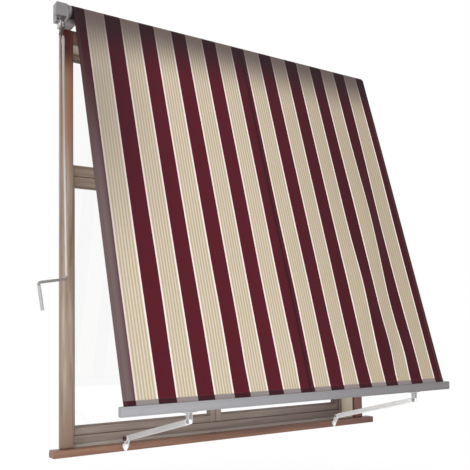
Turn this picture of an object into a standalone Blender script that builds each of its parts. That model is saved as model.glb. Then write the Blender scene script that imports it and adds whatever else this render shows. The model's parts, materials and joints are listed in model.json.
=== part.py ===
"""Drop awning over a two-leaf window: striped cloth, roller with worm gear and crank, folding arms.

Metres, +Z up. X = 0 is the middle of the window, Y = 0 is the wall plane and -Y points outdoors.
The origin lies on the sill board's back face, in the middle of the strip that bears on the wall.
"""

from math import asin, atan2, cos, hypot, pi, radians, sin

import bmesh
import bpy
from mathutils import Matrix, Vector

# Clearances
GAP = 0.0003
PIVOT_CLEARANCE = 0.0003
LEAF_GAP = 0.002
MEETING_GAP = 0.004

# Timber surround
FRAME_WIDTH = 2.166
BOARD_FACE = 0.0735
BOARD_DEPTH = 0.024
SURROUND_HEIGHT = 2.27
SILL_THICKNESS = 0.039
SILL_NOSE = 0.050
SILL_HORN = 0.053
SILL_EDGE_RADIUS = 0.004
LINING_THICKNESS = 0.015
LINING_TONGUE = 0.004
REVEAL_DEPTH = 0.127

# Window behind the reveal
WINDOW_MEMBER = 0.042
WINDOW_STILE = 0.026
WINDOW_HEAD = 0.030
WINDOW_DEPTH = 0.058
TRANSOM_HEIGHT = 0.056
TRANSOM_UNDERSIDE = 1.494
GLASS_THICKNESS = 0.006
LEAF_SETBACK = 0.010
LEAF_DEPTH = 0.048
LEAF_HINGE_STILE = 0.028
LEAF_MEETING_STILE = 0.038
LEAF_BOTTOM_RAIL = 0.041
LEAF_TOP_RAIL = 0.053
MEETING_X = -0.034
HINGE_RADIUS = 0.0065
HINGE_OFFSET = 0.007
HINGE_PIN_RADIUS = 0.003
HINGE_KNUCKLE = 0.034
HINGE_STRIP_WIDTH = 0.016
HINGE_STRIP_THICKNESS = 0.003
HINGE_WING_INSET = 0.001
HINGE_FROM_ENDS = 0.22

# Cloth and roller
CLOTH_INSET = 0.033
CLOTH_OFFSET = 0.014
CLOTH_THICKNESS = 0.0008
ROLL_RADIUS = 0.035
ROLL_FROM_WALL = 0.132
ROLL_OVER_SURROUND = 0.049
TUBE_RADIUS = 0.025
TUBE_WALL = 0.0015
TUBE_PAST_CLOTH = 0.002
PLUG_LENGTH = 0.036
STRIPE_PERIOD = 0.2062
FIRST_STRIPE = 0.0625
CREAM_STRIPE = 0.1125

# Roller brackets, which stand on the tops of the jambs
BRACKET_PLATE = 0.006
IDLE_PLATE = 0.0055
BRACKET_FOOT_LENGTH = 0.098
BRACKET_FOOT_HEIGHT = 0.030
BRACKET_FOOT_WIDTH = 0.056
BRACKET_FOOT_INSET = 0.003
DRIVE_SHAFT_RADIUS = 0.0175
DRIVE_SHAFT_SPAN = 0.0225
WHEEL_SHAFT_RADIUS = 0.009
IDLE_PIN_RADIUS = 0.006
IDLE_PLATE_FROM_CLOTH = 0.004
IDLE_NOSE_RADIUS = 0.018

# Worm gear
HOUSING_WIDTH = 0.057
HOUSING_WALL = 0.004
HOUSING_BELOW_AXIS = 0.046
HOUSING_FOOT_DROP = 0.028
HOUSING_FOOT_LENGTH = 0.044
HOUSING_FOOT_WIDTH = 0.022
HOUSING_HUMP = 0.0035
HOUSING_FRONT_ROUND = 0.014
HOUSING_BACK_ROUND = 0.008
GEAR_NOSE_RADIUS = 0.029
WHEEL_RADIUS = 0.0211
WHEEL_TOOTH = 0.00145
WHEEL_TEETH = 20
WHEEL_WIDTH = 0.012
WORM_RADIUS = 0.0066
WORM_THREAD = 0.0013
WORM_LENGTH = 0.020
WORM_STARTS = 4
GEAR_CENTRES = 0.0281
WORM_SPACE = 0.003
EYE_STEM_RADIUS = 0.0045
EYE_WIRE_RADIUS = 0.0025
EYE_WIDTH = 0.019
EYE_LENGTH = 0.040
EYE_BELOW_AXIS = 0.1106
WORM_FROM_PLATE = 0.0222
WINDING_LEAN = radians(0.84)

# Crank
HOOK_WIRE_RADIUS = 0.003
HOOK_TIP_DROP = 0.046
HOOK_TIP_SIDE = 0.024
ROD_RADIUS = 0.0075
ROD_BORE = 0.0063
ROD_TOP_DROP = 0.062
ROD_LENGTH = 1.2458
CRANK_BAR_RADIUS = 0.006
CRANK_REACH = 0.148
CRANK_DIP = radians(7.5)
CRANK_BEND = 0.014
GRIP_LENGTH = 0.128
GRIP_RADIUS = 0.0090

# Arms and their fittings
ARM_LENGTH = 0.693
ARM_ELEVATION = radians(13.0)
LEFT_ARM_INSET = 0.350
RIGHT_ARM_INSET = 0.307
PIVOT_FROM_WALL = 0.104
PIVOT_OVER_SILL = 0.034
ARM_HEIGHT = 0.031
ARM_WIDTH = 0.020
ARM_WALL = 0.002
LUG_RADIUS = 0.0125
LUG_THICKNESS = 0.0147
LUG_NECK = 0.026
LUG_TENON = 0.036
CHEEK_THICKNESS = 0.003
CHEEK_RADIUS = 0.0120
STEM_RADIUS = 0.0038
BASE_PLATE_THICKNESS = 0.003
BASE_PLATE_TOP_WIDTH = 0.048
BASE_PLATE_FOOT_WIDTH = 0.012
BASE_PLATE_DROP = 0.0355
KNOB_RADIUS = 0.0155
KNOB_LOBES = 5
KNOB_LOBE_DEPTH = 0.0022
KNOB_THICKNESS = 0.014
NUT_RADIUS = 0.0070
NUT_THICKNESS = 0.005

# Front bar
BAR_HEIGHT = 0.046
BAR_DEPTH = 0.028
BAR_WALL = 0.002
BAR_OVER_TIP = 0.046
BAR_PAST_CLOTH_LEFT = 0.015
BAR_PAST_CLOTH_RIGHT = 0.033
BAR_CAP = 0.003
GROOVE_SLOT = 0.005
GROOVE_RADIUS = 0.006
GROOVE_DROP = 0.0105
HEM_ROD_RADIUS = 0.004
BAR_PLATE_LENGTH = 0.076
BAR_PLATE_THICKNESS = 0.003

# Screw heads
SCREW_RADIUS = 0.004
SCREW_HEIGHT = 0.0025
BAR_SCREW_SPACING = 0.044
BASE_SCREW_SPACING = 0.036
BASE_SCREW_DROP = 0.0065

# Places that follow from the sizes above
SILL_UNDERSIDE = -(SILL_THICKNESS - LINING_THICKNESS) / 2
SILL_TOP = SILL_UNDERSIDE + SILL_THICKNESS
FRAME_TOP = SILL_TOP + SURROUND_HEIGHT
SILL_FRONT = -(BOARD_DEPTH + SILL_NOSE)
INNER_X = FRAME_WIDTH / 2 - BOARD_FACE
SOFFIT = FRAME_TOP - BOARD_FACE
WINDOW_FRONT = REVEAL_DEPTH - BOARD_DEPTH
WINDOW_BACK = WINDOW_FRONT + WINDOW_DEPTH
LEAF_FRONT = WINDOW_FRONT + LEAF_SETBACK
LEAF_BACK = LEAF_FRONT + LEAF_DEPTH
LIGHT_X = INNER_X - GAP - WINDOW_STILE
LEAF_FLOOR = SILL_TOP + GAP + WINDOW_MEMBER + LEAF_GAP
LEAF_TOP = SILL_TOP + TRANSOM_UNDERSIDE - LEAF_GAP
HINGE_X = LIGHT_X - LEAF_GAP / 2
HINGE_Y = LEAF_BACK + HINGE_OFFSET
CLOTH_WIDTH = FRAME_WIDTH - 2 * CLOTH_INSET
CLOTH_CENTRE_X = -CLOTH_OFFSET
CLOTH_LEFT = CLOTH_CENTRE_X - CLOTH_WIDTH / 2
CLOTH_RIGHT = CLOTH_CENTRE_X + CLOTH_WIDTH / 2
ROLL_Y = -ROLL_FROM_WALL
ROLL_Z = FRAME_TOP + ROLL_OVER_SURROUND
TUBE_LEFT = CLOTH_LEFT - TUBE_PAST_CLOTH
TUBE_RIGHT = CLOTH_RIGHT + TUBE_PAST_CLOTH
PIVOT_Y = -PIVOT_FROM_WALL
PIVOT_Z = SILL_TOP + PIVOT_OVER_SILL
TIP_Y = PIVOT_Y - ARM_LENGTH * cos(ARM_ELEVATION)
TIP_Z = PIVOT_Z + ARM_LENGTH * sin(ARM_ELEVATION)
BAR_UNDERSIDE = TIP_Z + BAR_OVER_TIP
BAR_TOP = BAR_UNDERSIDE + BAR_HEIGHT
GROOVE_Z = BAR_TOP - GROOVE_DROP
BAR_LEFT = CLOTH_LEFT - BAR_PAST_CLOTH_LEFT
BAR_RIGHT = CLOTH_RIGHT + BAR_PAST_CLOTH_RIGHT
WORM_Y = ROLL_Y - GEAR_CENTRES
EYE_Z = ROLL_Z - EYE_BELOW_AXIS
CHEEK_INNER = LUG_THICKNESS / 2 + PIVOT_CLEARANCE
CHEEK_OUTER = CHEEK_INNER + CHEEK_THICKNESS
PLATE_LEFT_X = TUBE_LEFT - DRIVE_SHAFT_SPAN
WINDING_X = PLATE_LEFT_X - BRACKET_PLATE - WORM_FROM_PLATE
LEFT_ARM_X = LEFT_ARM_INSET - FRAME_WIDTH / 2
RIGHT_ARM_X = FRAME_WIDTH / 2 - RIGHT_ARM_INSET

COLOURS = {
    "timber": ((0.30, 0.17, 0.11), 0.45, 0.0),
    "lining": ((0.62, 0.55, 0.42), 0.55, 0.0),
    "window_timber": ((0.22, 0.12, 0.09), 0.45, 0.0),
    "glass": ((0.80, 0.86, 0.88), 0.05, 0.0),
    "burgundy": ((0.16, 0.015, 0.030), 0.85, 0.0),
    "cream": ((0.62, 0.55, 0.40), 0.85, 0.0),
    "bar_aluminium": ((0.42, 0.44, 0.47), 0.40, 0.6),
    "arm_aluminium": ((0.80, 0.81, 0.82), 0.30, 0.7),
    "bracket_casting": ((0.72, 0.72, 0.71), 0.40, 0.4),
    "gear_casting": ((0.50, 0.48, 0.46), 0.50, 0.2),
    "tube_steel": ((0.55, 0.56, 0.57), 0.35, 0.9),
    "dark_steel": ((0.14, 0.14, 0.15), 0.40, 0.8),
    "rod_paint": ((0.62, 0.62, 0.61), 0.35, 0.1),
    "grip_plastic": ((0.40, 0.40, 0.40), 0.50, 0.0),
    "knob_plastic": ((0.07, 0.015, 0.025), 0.35, 0.0),
    "cap_plastic": ((0.36, 0.38, 0.41), 0.50, 0.0),
    "gear_brass": ((0.60, 0.45, 0.18), 0.35, 0.9),
}


def material(name):
    """The named Principled material, made on first use."""
    found = bpy.data.materials.get(name)
    if found:
        return found
    colour, roughness, metallic = COLOURS[name]
    made = bpy.data.materials.new(name)
    made.use_nodes = True
    made.diffuse_color = (*colour, 1.0)
    shader = made.node_tree.nodes["Principled BSDF"]
    shader.inputs["Base Color"].default_value = (*colour, 1.0)
    shader.inputs["Roughness"].default_value = roughness
    shader.inputs["Metallic"].default_value = metallic
    return made


def carrier(name, place, turn=(0.0, 0.0, 0.0), parent=None):
    """An empty on a joint's axis, which carries the pieces of one moving body."""
    empty = bpy.data.objects.new(name, None)
    bpy.context.scene.collection.objects.link(empty)
    empty.empty_display_size = 0.05
    empty.location = place
    empty.rotation_euler = turn
    empty.parent = parent
    return empty


def piece(name, shape, finish, on=None, place=(0.0, 0.0, 0.0), smooth=False):
    """Turns a bmesh into a named object with its material, at a place in its carrier's frame."""
    bmesh.ops.recalc_face_normals(shape, faces=shape.faces)
    if shape.calc_volume(signed=True) < 0:
        bmesh.ops.reverse_faces(shape, faces=shape.faces)
    mesh = bpy.data.meshes.new(name)
    shape.to_mesh(mesh)
    shape.free()
    if smooth:
        mesh.shade_smooth()
        mesh.set_sharp_from_angle(angle=radians(35))
    mesh.materials.append(material(finish))
    made = bpy.data.objects.new(name, mesh)
    bpy.context.scene.collection.objects.link(made)
    made.location = place
    made.parent = on
    return made


def boolean(base, operation, *tools):
    """Unites tool objects with a base object, or cuts them out of it, and removes the tools."""
    for tool in tools:
        step = base.modifiers.new(operation, "BOOLEAN")
        step.operation = operation
        step.object = tool
    bpy.context.view_layer.update()
    result = bpy.data.meshes.new_from_object(base.evaluated_get(bpy.context.evaluated_depsgraph_get()))
    base.modifiers.clear()
    base.data = result
    for tool in tools:
        bpy.data.objects.remove(tool)
    return base


def rounded(corners, radii, steps=3):
    """The outline through the corners, each rounded by an arc of its radius."""
    points = []
    count = len(corners)
    for i, (corner, radius) in enumerate(zip(corners, radii)):
        here = Vector(corner)
        if radius <= 0:
            points.append(here)
            continue
        before = (Vector(corners[i - 1]) - here).normalized()
        after = (Vector(corners[(i + 1) % count]) - here).normalized()
        half = before.angle(after) / 2
        centre = here + (before + after).normalized() * (radius / sin(half))
        start = here + before * (radius / (sin(half) / cos(half))) - centre
        end = here + after * (radius / (sin(half) / cos(half))) - centre
        first = atan2(start.y, start.x)
        turn = (atan2(end.y, end.x) - first + pi) % (2 * pi) - pi
        for k in range(steps + 1):
            angle = first + turn * k / steps
            points.append(centre + Vector((cos(angle), sin(angle))) * radius)
    return [tuple(p) for p in points]


def circle(centre, radius, count, start=0.0):
    """Points round a circle in the plane of an outline."""
    angles = [start + 2 * pi * k / count for k in range(count)]
    return [(centre[0] + radius * cos(a), centre[1] + radius * sin(a)) for a in angles]


def lifted(axis, u, v, along):
    """A point of an outline at a distance along the axis that the outline is drawn across."""
    return {"X": (along, u, v), "Y": (u, along, v), "Z": (u, v, along)}[axis]


def prism(axis, outline, start, end, holes=()):
    """A closed bmesh: the outline, less its holes, carried straight from start to end along an axis."""
    shape = bmesh.new()
    edges = {start: [], end: []}
    for loop in (outline, *holes):
        rings = {}
        for along in (start, end):
            ring = [shape.verts.new(lifted(axis, u, v, along)) for u, v in loop]
            for i, vert in enumerate(ring):
                edges[along].append(shape.edges.new((ring[i - 1], vert)))
            rings[along] = ring
        for i in range(len(loop)):
            shape.faces.new((rings[start][i - 1], rings[start][i], rings[end][i], rings[end][i - 1]))
    for along in (start, end):
        bmesh.ops.triangle_fill(shape, use_beauty=True, use_dissolve=False, edges=edges[along])
    return shape


def block(low, high):
    """A closed box between two corners."""
    outline = [(low[0], low[1]), (high[0], low[1]), (high[0], high[1]), (low[0], high[1])]
    return prism("Z", outline, low[2], high[2])


def turned(profile, count, hollow=False):
    """Spins a profile of (distance along X, radius) pairs about the X axis into a closed solid.

    A hollow profile is a closed loop; a plain one runs between two points on the axis."""
    shape = bmesh.new()
    rings = []
    for along, radius in profile:
        if radius == 0:
            rings.append([shape.verts.new((along, 0, 0))])
            continue
        rings.append([shape.verts.new((along, y, z)) for y, z in circle((0, 0), radius, count)])
    pairs = list(zip(rings, rings[1:]))
    if hollow:
        pairs.append((rings[-1], rings[0]))
    for low, high in pairs:
        for i in range(count):
            corners = [low[i - 1 if len(low) > 1 else 0], low[i if len(low) > 1 else 0],
                       high[i if len(high) > 1 else 0], high[i - 1 if len(high) > 1 else 0]]
            shape.faces.new(list(dict.fromkeys(corners)))
    return shape


def swept(path, radii, count, closed=False):
    """A round bar along a path of points, with its radius at each point, or one radius for all."""
    points = [Vector(p) for p in path]
    if not hasattr(radii, "__len__"):
        radii = [radii] * len(points)
    shape = bmesh.new()
    rings = []
    side = None
    for i, point in enumerate(points):
        before = points[i - 1] if i or closed else point
        after = points[(i + 1) % len(points)] if i + 1 < len(points) or closed else point
        along = (after - before).normalized()
        if side is None:
            side = along.orthogonal().normalized()
        side = (side - along * side.dot(along)).normalized()
        other = along.cross(side)
        ring = [point + (side * u + other * v) * radii[i] for u, v in circle((0, 0), 1.0, count)]
        rings.append([shape.verts.new(p) for p in ring])
    pairs = list(zip(rings, rings[1:]))
    if closed:
        pairs.append((rings[-1], rings[0]))
    for low, high in pairs:
        for i in range(count):
            shape.faces.new((low[i - 1], low[i], high[i], high[i - 1]))
    if not closed:
        shape.faces.new(rings[0])
        shape.faces.new(rings[-1])
    return shape


def bent(corners, radius, steps=5):
    """A path through 3-D corners whose inner corners are rounded by arcs of one radius."""
    points = [Vector(corners[0])]
    for before, here, after in zip(corners, corners[1:], corners[2:]):
        here = Vector(here)
        back = (Vector(before) - here).normalized()
        ahead = (Vector(after) - here).normalized()
        half = back.angle(ahead) / 2
        centre = here + (back + ahead).normalized() * (radius / sin(half))
        start = here + back * (radius * cos(half) / sin(half)) - centre
        end = here + ahead * (radius * cos(half) / sin(half)) - centre
        for k in range(steps + 1):
            points.append(centre + start.slerp(end, k / steps).normalized() * start.length)
    points.append(Vector(corners[-1]))
    return points


def copies(shape, moves):
    """The same closed shape at several places, as separate solids of one bmesh."""
    mesh = bpy.data.meshes.new("copy")
    shape.to_mesh(mesh)
    shape.free()
    group = bmesh.new()
    for move in moves:
        moved = mesh.copy()
        moved.transform(move)
        group.from_mesh(moved)
        bpy.data.meshes.remove(moved)
    bpy.data.meshes.remove(mesh)
    return group


def timber_surround():
    """Sill board with horns, jamb boards, head board and the lining of the reveal."""
    rebate = LINING_TONGUE + GAP
    shelf = SILL_TOP - LINING_THICKNESS - GAP
    horn = FRAME_WIDTH / 2 + SILL_HORN
    corners = [(SILL_FRONT, SILL_UNDERSIDE), (0, SILL_UNDERSIDE), (0, shelf), (-rebate, shelf),
               (-rebate, SILL_TOP), (SILL_FRONT, SILL_TOP)]
    edge = SILL_EDGE_RADIUS
    profile = rounded(corners, (edge / 2, 0, 0, 0, 0, edge))
    piece("sill_board", prism("X", profile, -horn, horn), "timber")
    for side, label in ((-1, "left"), (1, "right")):
        groove = INNER_X + LINING_THICKNESS + GAP
        profile = [(side * INNER_X, -BOARD_DEPTH), (side * FRAME_WIDTH / 2, -BOARD_DEPTH),
                   (side * FRAME_WIDTH / 2, 0), (side * groove, 0), (side * groove, -rebate),
                   (side * INNER_X, -rebate)]
        piece(f"jamb_{label}", prism("Z", profile, SILL_TOP + GAP, FRAME_TOP), "timber")
        near, far = sorted((side * INNER_X, side * (INNER_X + LINING_THICKNESS)))
        low = (near, -LINING_TONGUE, SILL_TOP + GAP)
        piece(f"lining_{label}", block(low, (far, WINDOW_BACK, SOFFIT - GAP)), "lining")
    ceiling = SOFFIT + LINING_THICKNESS
    profile = [(-BOARD_DEPTH, SOFFIT), (-rebate, SOFFIT), (-rebate, ceiling + GAP), (0, ceiling + GAP),
               (0, FRAME_TOP), (-BOARD_DEPTH, FRAME_TOP)]
    piece("head_board", prism("X", profile, -INNER_X + GAP, INNER_X - GAP), "timber")
    reach = INNER_X + LINING_THICKNESS
    piece("lining_top", block((-reach, -LINING_TONGUE, SOFFIT), (reach, WINDOW_BACK, ceiling)), "lining")
    low = (-reach, -LINING_TONGUE, SILL_TOP - LINING_THICKNESS)
    piece("lining_bottom", block(low, (reach, WINDOW_BACK, SILL_TOP)), "lining")


def window_frame():
    """Fixed frame in the reveal: two stiles, head, bottom rail, transom and the fanlight's pane."""
    floor = SILL_TOP + GAP
    head = SOFFIT - GAP
    for side, label in ((-1, "left"), (1, "right")):
        near, far = sorted((side * LIGHT_X, side * (INNER_X - GAP)))
        low = (near, WINDOW_FRONT, floor)
        piece(f"frame_stile_{label}", block(low, (far, WINDOW_BACK, head)), "window_timber")
    span = LIGHT_X - GAP
    levels = {
        "frame_head": (head - WINDOW_HEAD, head),
        "frame_bottom_rail": (floor, floor + WINDOW_MEMBER),
        "transom": (SILL_TOP + TRANSOM_UNDERSIDE, SILL_TOP + TRANSOM_UNDERSIDE + TRANSOM_HEIGHT),
    }
    for name, (low, high) in levels.items():
        shape = block((-span, WINDOW_FRONT, low), (span, WINDOW_BACK, high))
        piece(name, shape, "window_timber")
    front = (WINDOW_FRONT + WINDOW_BACK - GLASS_THICKNESS) / 2
    low = (-span, front, levels["transom"][1] + GAP)
    high = (span, front + GLASS_THICKNESS, levels["frame_head"][0] - GAP)
    piece("fanlight_pane", block(low, high), "glass")


def hinge_half(name, towards, strip_y, span, bore, on=None, place=(0.0, 0.0, 0.0)):
    """Half of a leaf's two hinges about the Z axis: two knuckles with wings on one long strip."""
    heights = (LEAF_TOP - HINGE_FROM_ENDS, LEAF_FLOOR + HINGE_FROM_ENDS)
    low, high = span
    inner = towards * (HINGE_RADIUS + LEAF_GAP)
    outer = inner + towards * HINGE_STRIP_WIDTH
    top, bottom = heights[0] + HINGE_KNUCKLE, heights[1] - HINGE_KNUCKLE
    outline = [(inner, bottom), (outer, bottom), (outer, top), (inner, top)]
    for height in heights:
        upper, lower = height + high - HINGE_WING_INSET, height + low + HINGE_WING_INSET
        outline += [(inner, upper), (0, upper), (0, lower), (inner, lower)]
    strip = prism("Y", outline, strip_y, strip_y + HINGE_STRIP_THICKNESS)
    made = piece(name, strip, "tube_steel", on=on, place=place)
    for height in heights:
        holes = [circle((0, 0), bore, 12)] if bore else ()
        tools = [prism("Z", circle((0, 0), HINGE_RADIUS, 16), height + low, height + high, holes=holes)]
        if not bore:
            pin_top = height + HINGE_KNUCKLE - PIVOT_CLEARANCE
            tools.append(prism("Z", circle((0, 0), HINGE_PIN_RADIUS, 12), height - GAP, pin_top))
        boolean(made, "UNION", *[piece("tool", tool, "tube_steel", on=on, place=place) for tool in tools])


def window_leaf(side, label):
    """One leaf that opens inward about its hinges: two stiles, two rails, a pane and its hinge halves."""
    axis = carrier(f"{label}_leaf_axis", (side * HINGE_X, HINGE_Y, 0))
    outer = side * (LIGHT_X - LEAF_GAP)
    meeting = MEETING_X + side * MEETING_GAP / 2
    inner_outer = outer - side * LEAF_HINGE_STILE
    inner_meeting = meeting + side * LEAF_MEETING_STILE
    shift = Vector((side * HINGE_X, HINGE_Y, 0))

    def board(name, xs, zs, finish="window_timber", ys=(LEAF_FRONT, LEAF_BACK)):
        low = Vector((min(xs), ys[0], zs[0])) - shift
        high = Vector((max(xs), ys[1], zs[1])) - shift
        piece(f"{label}_leaf_{name}", block(low, high), finish, on=axis)

    board("hinge_stile", (outer, inner_outer), (LEAF_FLOOR, LEAF_TOP))
    board("meeting_stile", (meeting, inner_meeting), (LEAF_FLOOR, LEAF_TOP))
    between = (inner_outer - side * GAP, inner_meeting + side * GAP)
    board("bottom_rail", between, (LEAF_FLOOR, LEAF_FLOOR + LEAF_BOTTOM_RAIL))
    board("top_rail", between, (LEAF_TOP - LEAF_TOP_RAIL, LEAF_TOP))
    glass_front = (LEAF_FRONT + LEAF_BACK - GLASS_THICKNESS) / 2
    board("pane", between, (LEAF_FLOOR + LEAF_BOTTOM_RAIL + GAP, LEAF_TOP - LEAF_TOP_RAIL - GAP),
          "glass", (glass_front, glass_front + GLASS_THICKNESS))
    bore = HINGE_PIN_RADIUS + PIVOT_CLEARANCE
    hinge_half(f"{label}_leaf_hinges", -side, LEAF_BACK + GAP - HINGE_Y, (GAP, HINGE_KNUCKLE), bore, on=axis)
    hinge_half(f"{label}_frame_hinges", side, WINDOW_BACK + GAP - HINGE_Y, (-HINGE_KNUCKLE, 0), 0,
               place=(side * HINGE_X, HINGE_Y, 0))


def bracket(name, plate_x, plate_thickness, foot_x, nose, hole_radius):
    """A cast bracket: a foot on top of the jamb and a plate across it that carries the roller."""
    floor = FRAME_TOP + GAP
    foot = block((foot_x, -BRACKET_FOOT_LENGTH, floor),
                 (foot_x + BRACKET_FOOT_WIDTH, -GAP, floor + BRACKET_FOOT_HEIGHT))
    made = piece(name, foot, "bracket_casting")
    corners = [(-GAP, floor), (ROLL_Y - nose, floor), (ROLL_Y - nose, ROLL_Z + nose), (-GAP, ROLL_Z + nose)]
    outline = rounded(corners, (0, nose / 2, nose * 0.9, nose * 1.6), steps=5)
    hole = circle((ROLL_Y, ROLL_Z), hole_radius, 32)
    plate = prism("X", outline, plate_x, plate_x + plate_thickness, holes=[hole])
    return boolean(made, "UNION", piece("plate", plate, "bracket_casting"))


def roller_brackets():
    """The gear's bracket on the left jamb and the idle bracket on the right one."""
    foot_x = -FRAME_WIDTH / 2 + BRACKET_FOOT_INSET
    gear_plate = PLATE_LEFT_X - BRACKET_PLATE
    made = bracket("gear_bracket", gear_plate, BRACKET_PLATE, foot_x, GEAR_NOSE_RADIUS,
                   DRIVE_SHAFT_RADIUS + PIVOT_CLEARANCE)
    reach = block((gear_plate, -BRACKET_FOOT_LENGTH, FRAME_TOP + GAP),
                  (foot_x + GAP, -GAP, FRAME_TOP + GAP + BRACKET_FOOT_HEIGHT))
    boolean(made, "UNION", piece("reach", reach, "bracket_casting"))
    foot_x = FRAME_WIDTH / 2 - BRACKET_FOOT_INSET - BRACKET_FOOT_WIDTH
    bracket("idle_bracket", CLOTH_RIGHT + IDLE_PLATE_FROM_CLOTH, IDLE_PLATE, foot_x, IDLE_NOSE_RADIUS,
            IDLE_PIN_RADIUS + PIVOT_CLEARANCE)


def gear_housing():
    """The housing round the worm gear: two humps side by side on top, a foot at its lower left, open to its bracket."""
    back = ROLL_Y + WHEEL_RADIUS + HOUSING_WALL
    front = WORM_Y - WORM_RADIUS - HOUSING_WALL
    top = ROLL_Z + WHEEL_RADIUS + HOUSING_WALL
    floor = ROLL_Z - HOUSING_BELOW_AXIS
    crest = top + HOUSING_HUMP
    right = PLATE_LEFT_X - BRACKET_PLATE - GAP
    left = right - HOUSING_WIDTH
    corners = [(front, floor), (back, floor), (back, crest), (front, crest)]
    outline = rounded(corners, (0.005, 0, HOUSING_BACK_ROUND, HOUSING_FRONT_ROUND), steps=5)
    made = piece("gear_housing", prism("X", outline, left, right), "gear_casting")
    margin = 0.01
    steps = 20
    humps = [(left - margin, floor - margin), (right + margin, floor - margin), (right + margin, top)]
    for k in range(steps + 1):
        humps.append((right - HOUSING_WIDTH * k / steps, top + HOUSING_HUMP * abs(sin(2 * pi * k / steps)) ** 0.7))
    humps.append((left - margin, top))
    boolean(made, "INTERSECT", piece("humps", prism("Y", humps, front - margin, back + margin), "gear_casting"))
    step = back - HOUSING_FOOT_LENGTH
    inset = HOUSING_WALL / 8
    corners = [(step, floor + HOUSING_WALL), (step, floor - HOUSING_FOOT_DROP),
               (back - inset, floor - HOUSING_FOOT_DROP), (back - inset, floor + HOUSING_WALL)]
    foot = prism("X", rounded(corners, (0, 0.008, 0.006, 0)), left + inset, left + HOUSING_FOOT_WIDTH)
    boolean(made, "UNION", piece("foot", foot, "gear_casting"))
    wheel = prism("X", circle((ROLL_Y, ROLL_Z), WHEEL_RADIUS + 0.0012, 40), left + HOUSING_WALL, right + GAP)
    pocket = WORM_RADIUS + 0.0012
    worm = block((left + HOUSING_WALL, WORM_Y - pocket, ROLL_Z - WORM_LENGTH / 2 - WORM_SPACE),
                 (right + GAP, ROLL_Y, ROLL_Z + WORM_LENGTH / 2 + WORM_SPACE))
    shaft = prism("Z", circle((WINDING_X - sin(WINDING_LEAN) * (ROLL_Z - EYE_Z) * 0.7, WORM_Y),
                              EYE_STEM_RADIUS + 0.001, 16), floor - GAP, ROLL_Z)
    boolean(made, "DIFFERENCE", piece("wheel_space", wheel, "gear_casting"),
            piece("worm_space", worm, "gear_casting"), piece("shaft_bore", shaft, "gear_casting"))


def roller():
    """Tube, end plugs, worm wheel and wound cloth, which all turn about the roller's axis."""
    axis = carrier("roller_axis", (CLOTH_CENTRE_X, ROLL_Y, ROLL_Z))
    left = TUBE_LEFT - CLOTH_CENTRE_X
    right = TUBE_RIGHT - CLOTH_CENTRE_X
    half = CLOTH_WIDTH / 2
    bore = TUBE_RADIUS - TUBE_WALL
    tube = [(left, TUBE_RADIUS), (right, TUBE_RADIUS), (right, bore), (left, bore)]
    piece("roller_tube", turned(tube, 40, hollow=True), "tube_steel", on=axis, smooth=True)
    core = TUBE_RADIUS + GAP
    wound = [(-half, ROLL_RADIUS), (half, ROLL_RADIUS), (half, core), (-half, core)]
    piece("wound_cloth", turned(wound, 48, hollow=True), "burgundy", on=axis, smooth=True)

    plug = bore - GAP
    flange = TUBE_RADIUS - GAP
    wheel_x = WINDING_X - sin(WINDING_LEAN) * (ROLL_Z - EYE_Z) - CLOTH_CENTRE_X
    plate = PLATE_LEFT_X - CLOTH_CENTRE_X - BRACKET_PLATE
    profile = [(left + PLUG_LENGTH, 0), (left + PLUG_LENGTH, plug), (left - GAP, plug),
               (left - GAP, flange), (left - 0.004, flange), (left - 0.004, DRIVE_SHAFT_RADIUS),
               (plate - 0.002, DRIVE_SHAFT_RADIUS), (plate - 0.002, WHEEL_SHAFT_RADIUS),
               (wheel_x - WHEEL_WIDTH, WHEEL_SHAFT_RADIUS), (wheel_x - WHEEL_WIDTH, 0)]
    piece("drive_plug", turned(profile, 32), "tube_steel", on=axis, smooth=True)
    pin_end = right + IDLE_PLATE_FROM_CLOTH + IDLE_PLATE
    profile = [(right - PLUG_LENGTH, 0), (right - PLUG_LENGTH, plug), (right + GAP, plug),
               (right + GAP, IDLE_PIN_RADIUS), (pin_end, IDLE_PIN_RADIUS), (pin_end, 0)]
    piece("idle_plug", turned(profile, 32), "tube_steel", on=axis, smooth=True)

    teeth = []
    for k in range(WHEEL_TEETH):
        for share, radius in ((0.0, 0), (0.30, 0), (0.45, 1), (0.85, 1)):
            angle = 2 * pi * (k + share) / WHEEL_TEETH
            reach = WHEEL_RADIUS - (0 if radius else WHEEL_TOOTH)
            teeth.append((reach * cos(angle), reach * sin(angle)))
    hub = circle((0, 0), WHEEL_SHAFT_RADIUS + GAP, 24)
    wheel = prism("X", teeth, wheel_x - WHEEL_WIDTH / 2, wheel_x + WHEEL_WIDTH / 2, holes=[hub])
    piece("worm_wheel", wheel, "gear_brass", on=axis)


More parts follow.
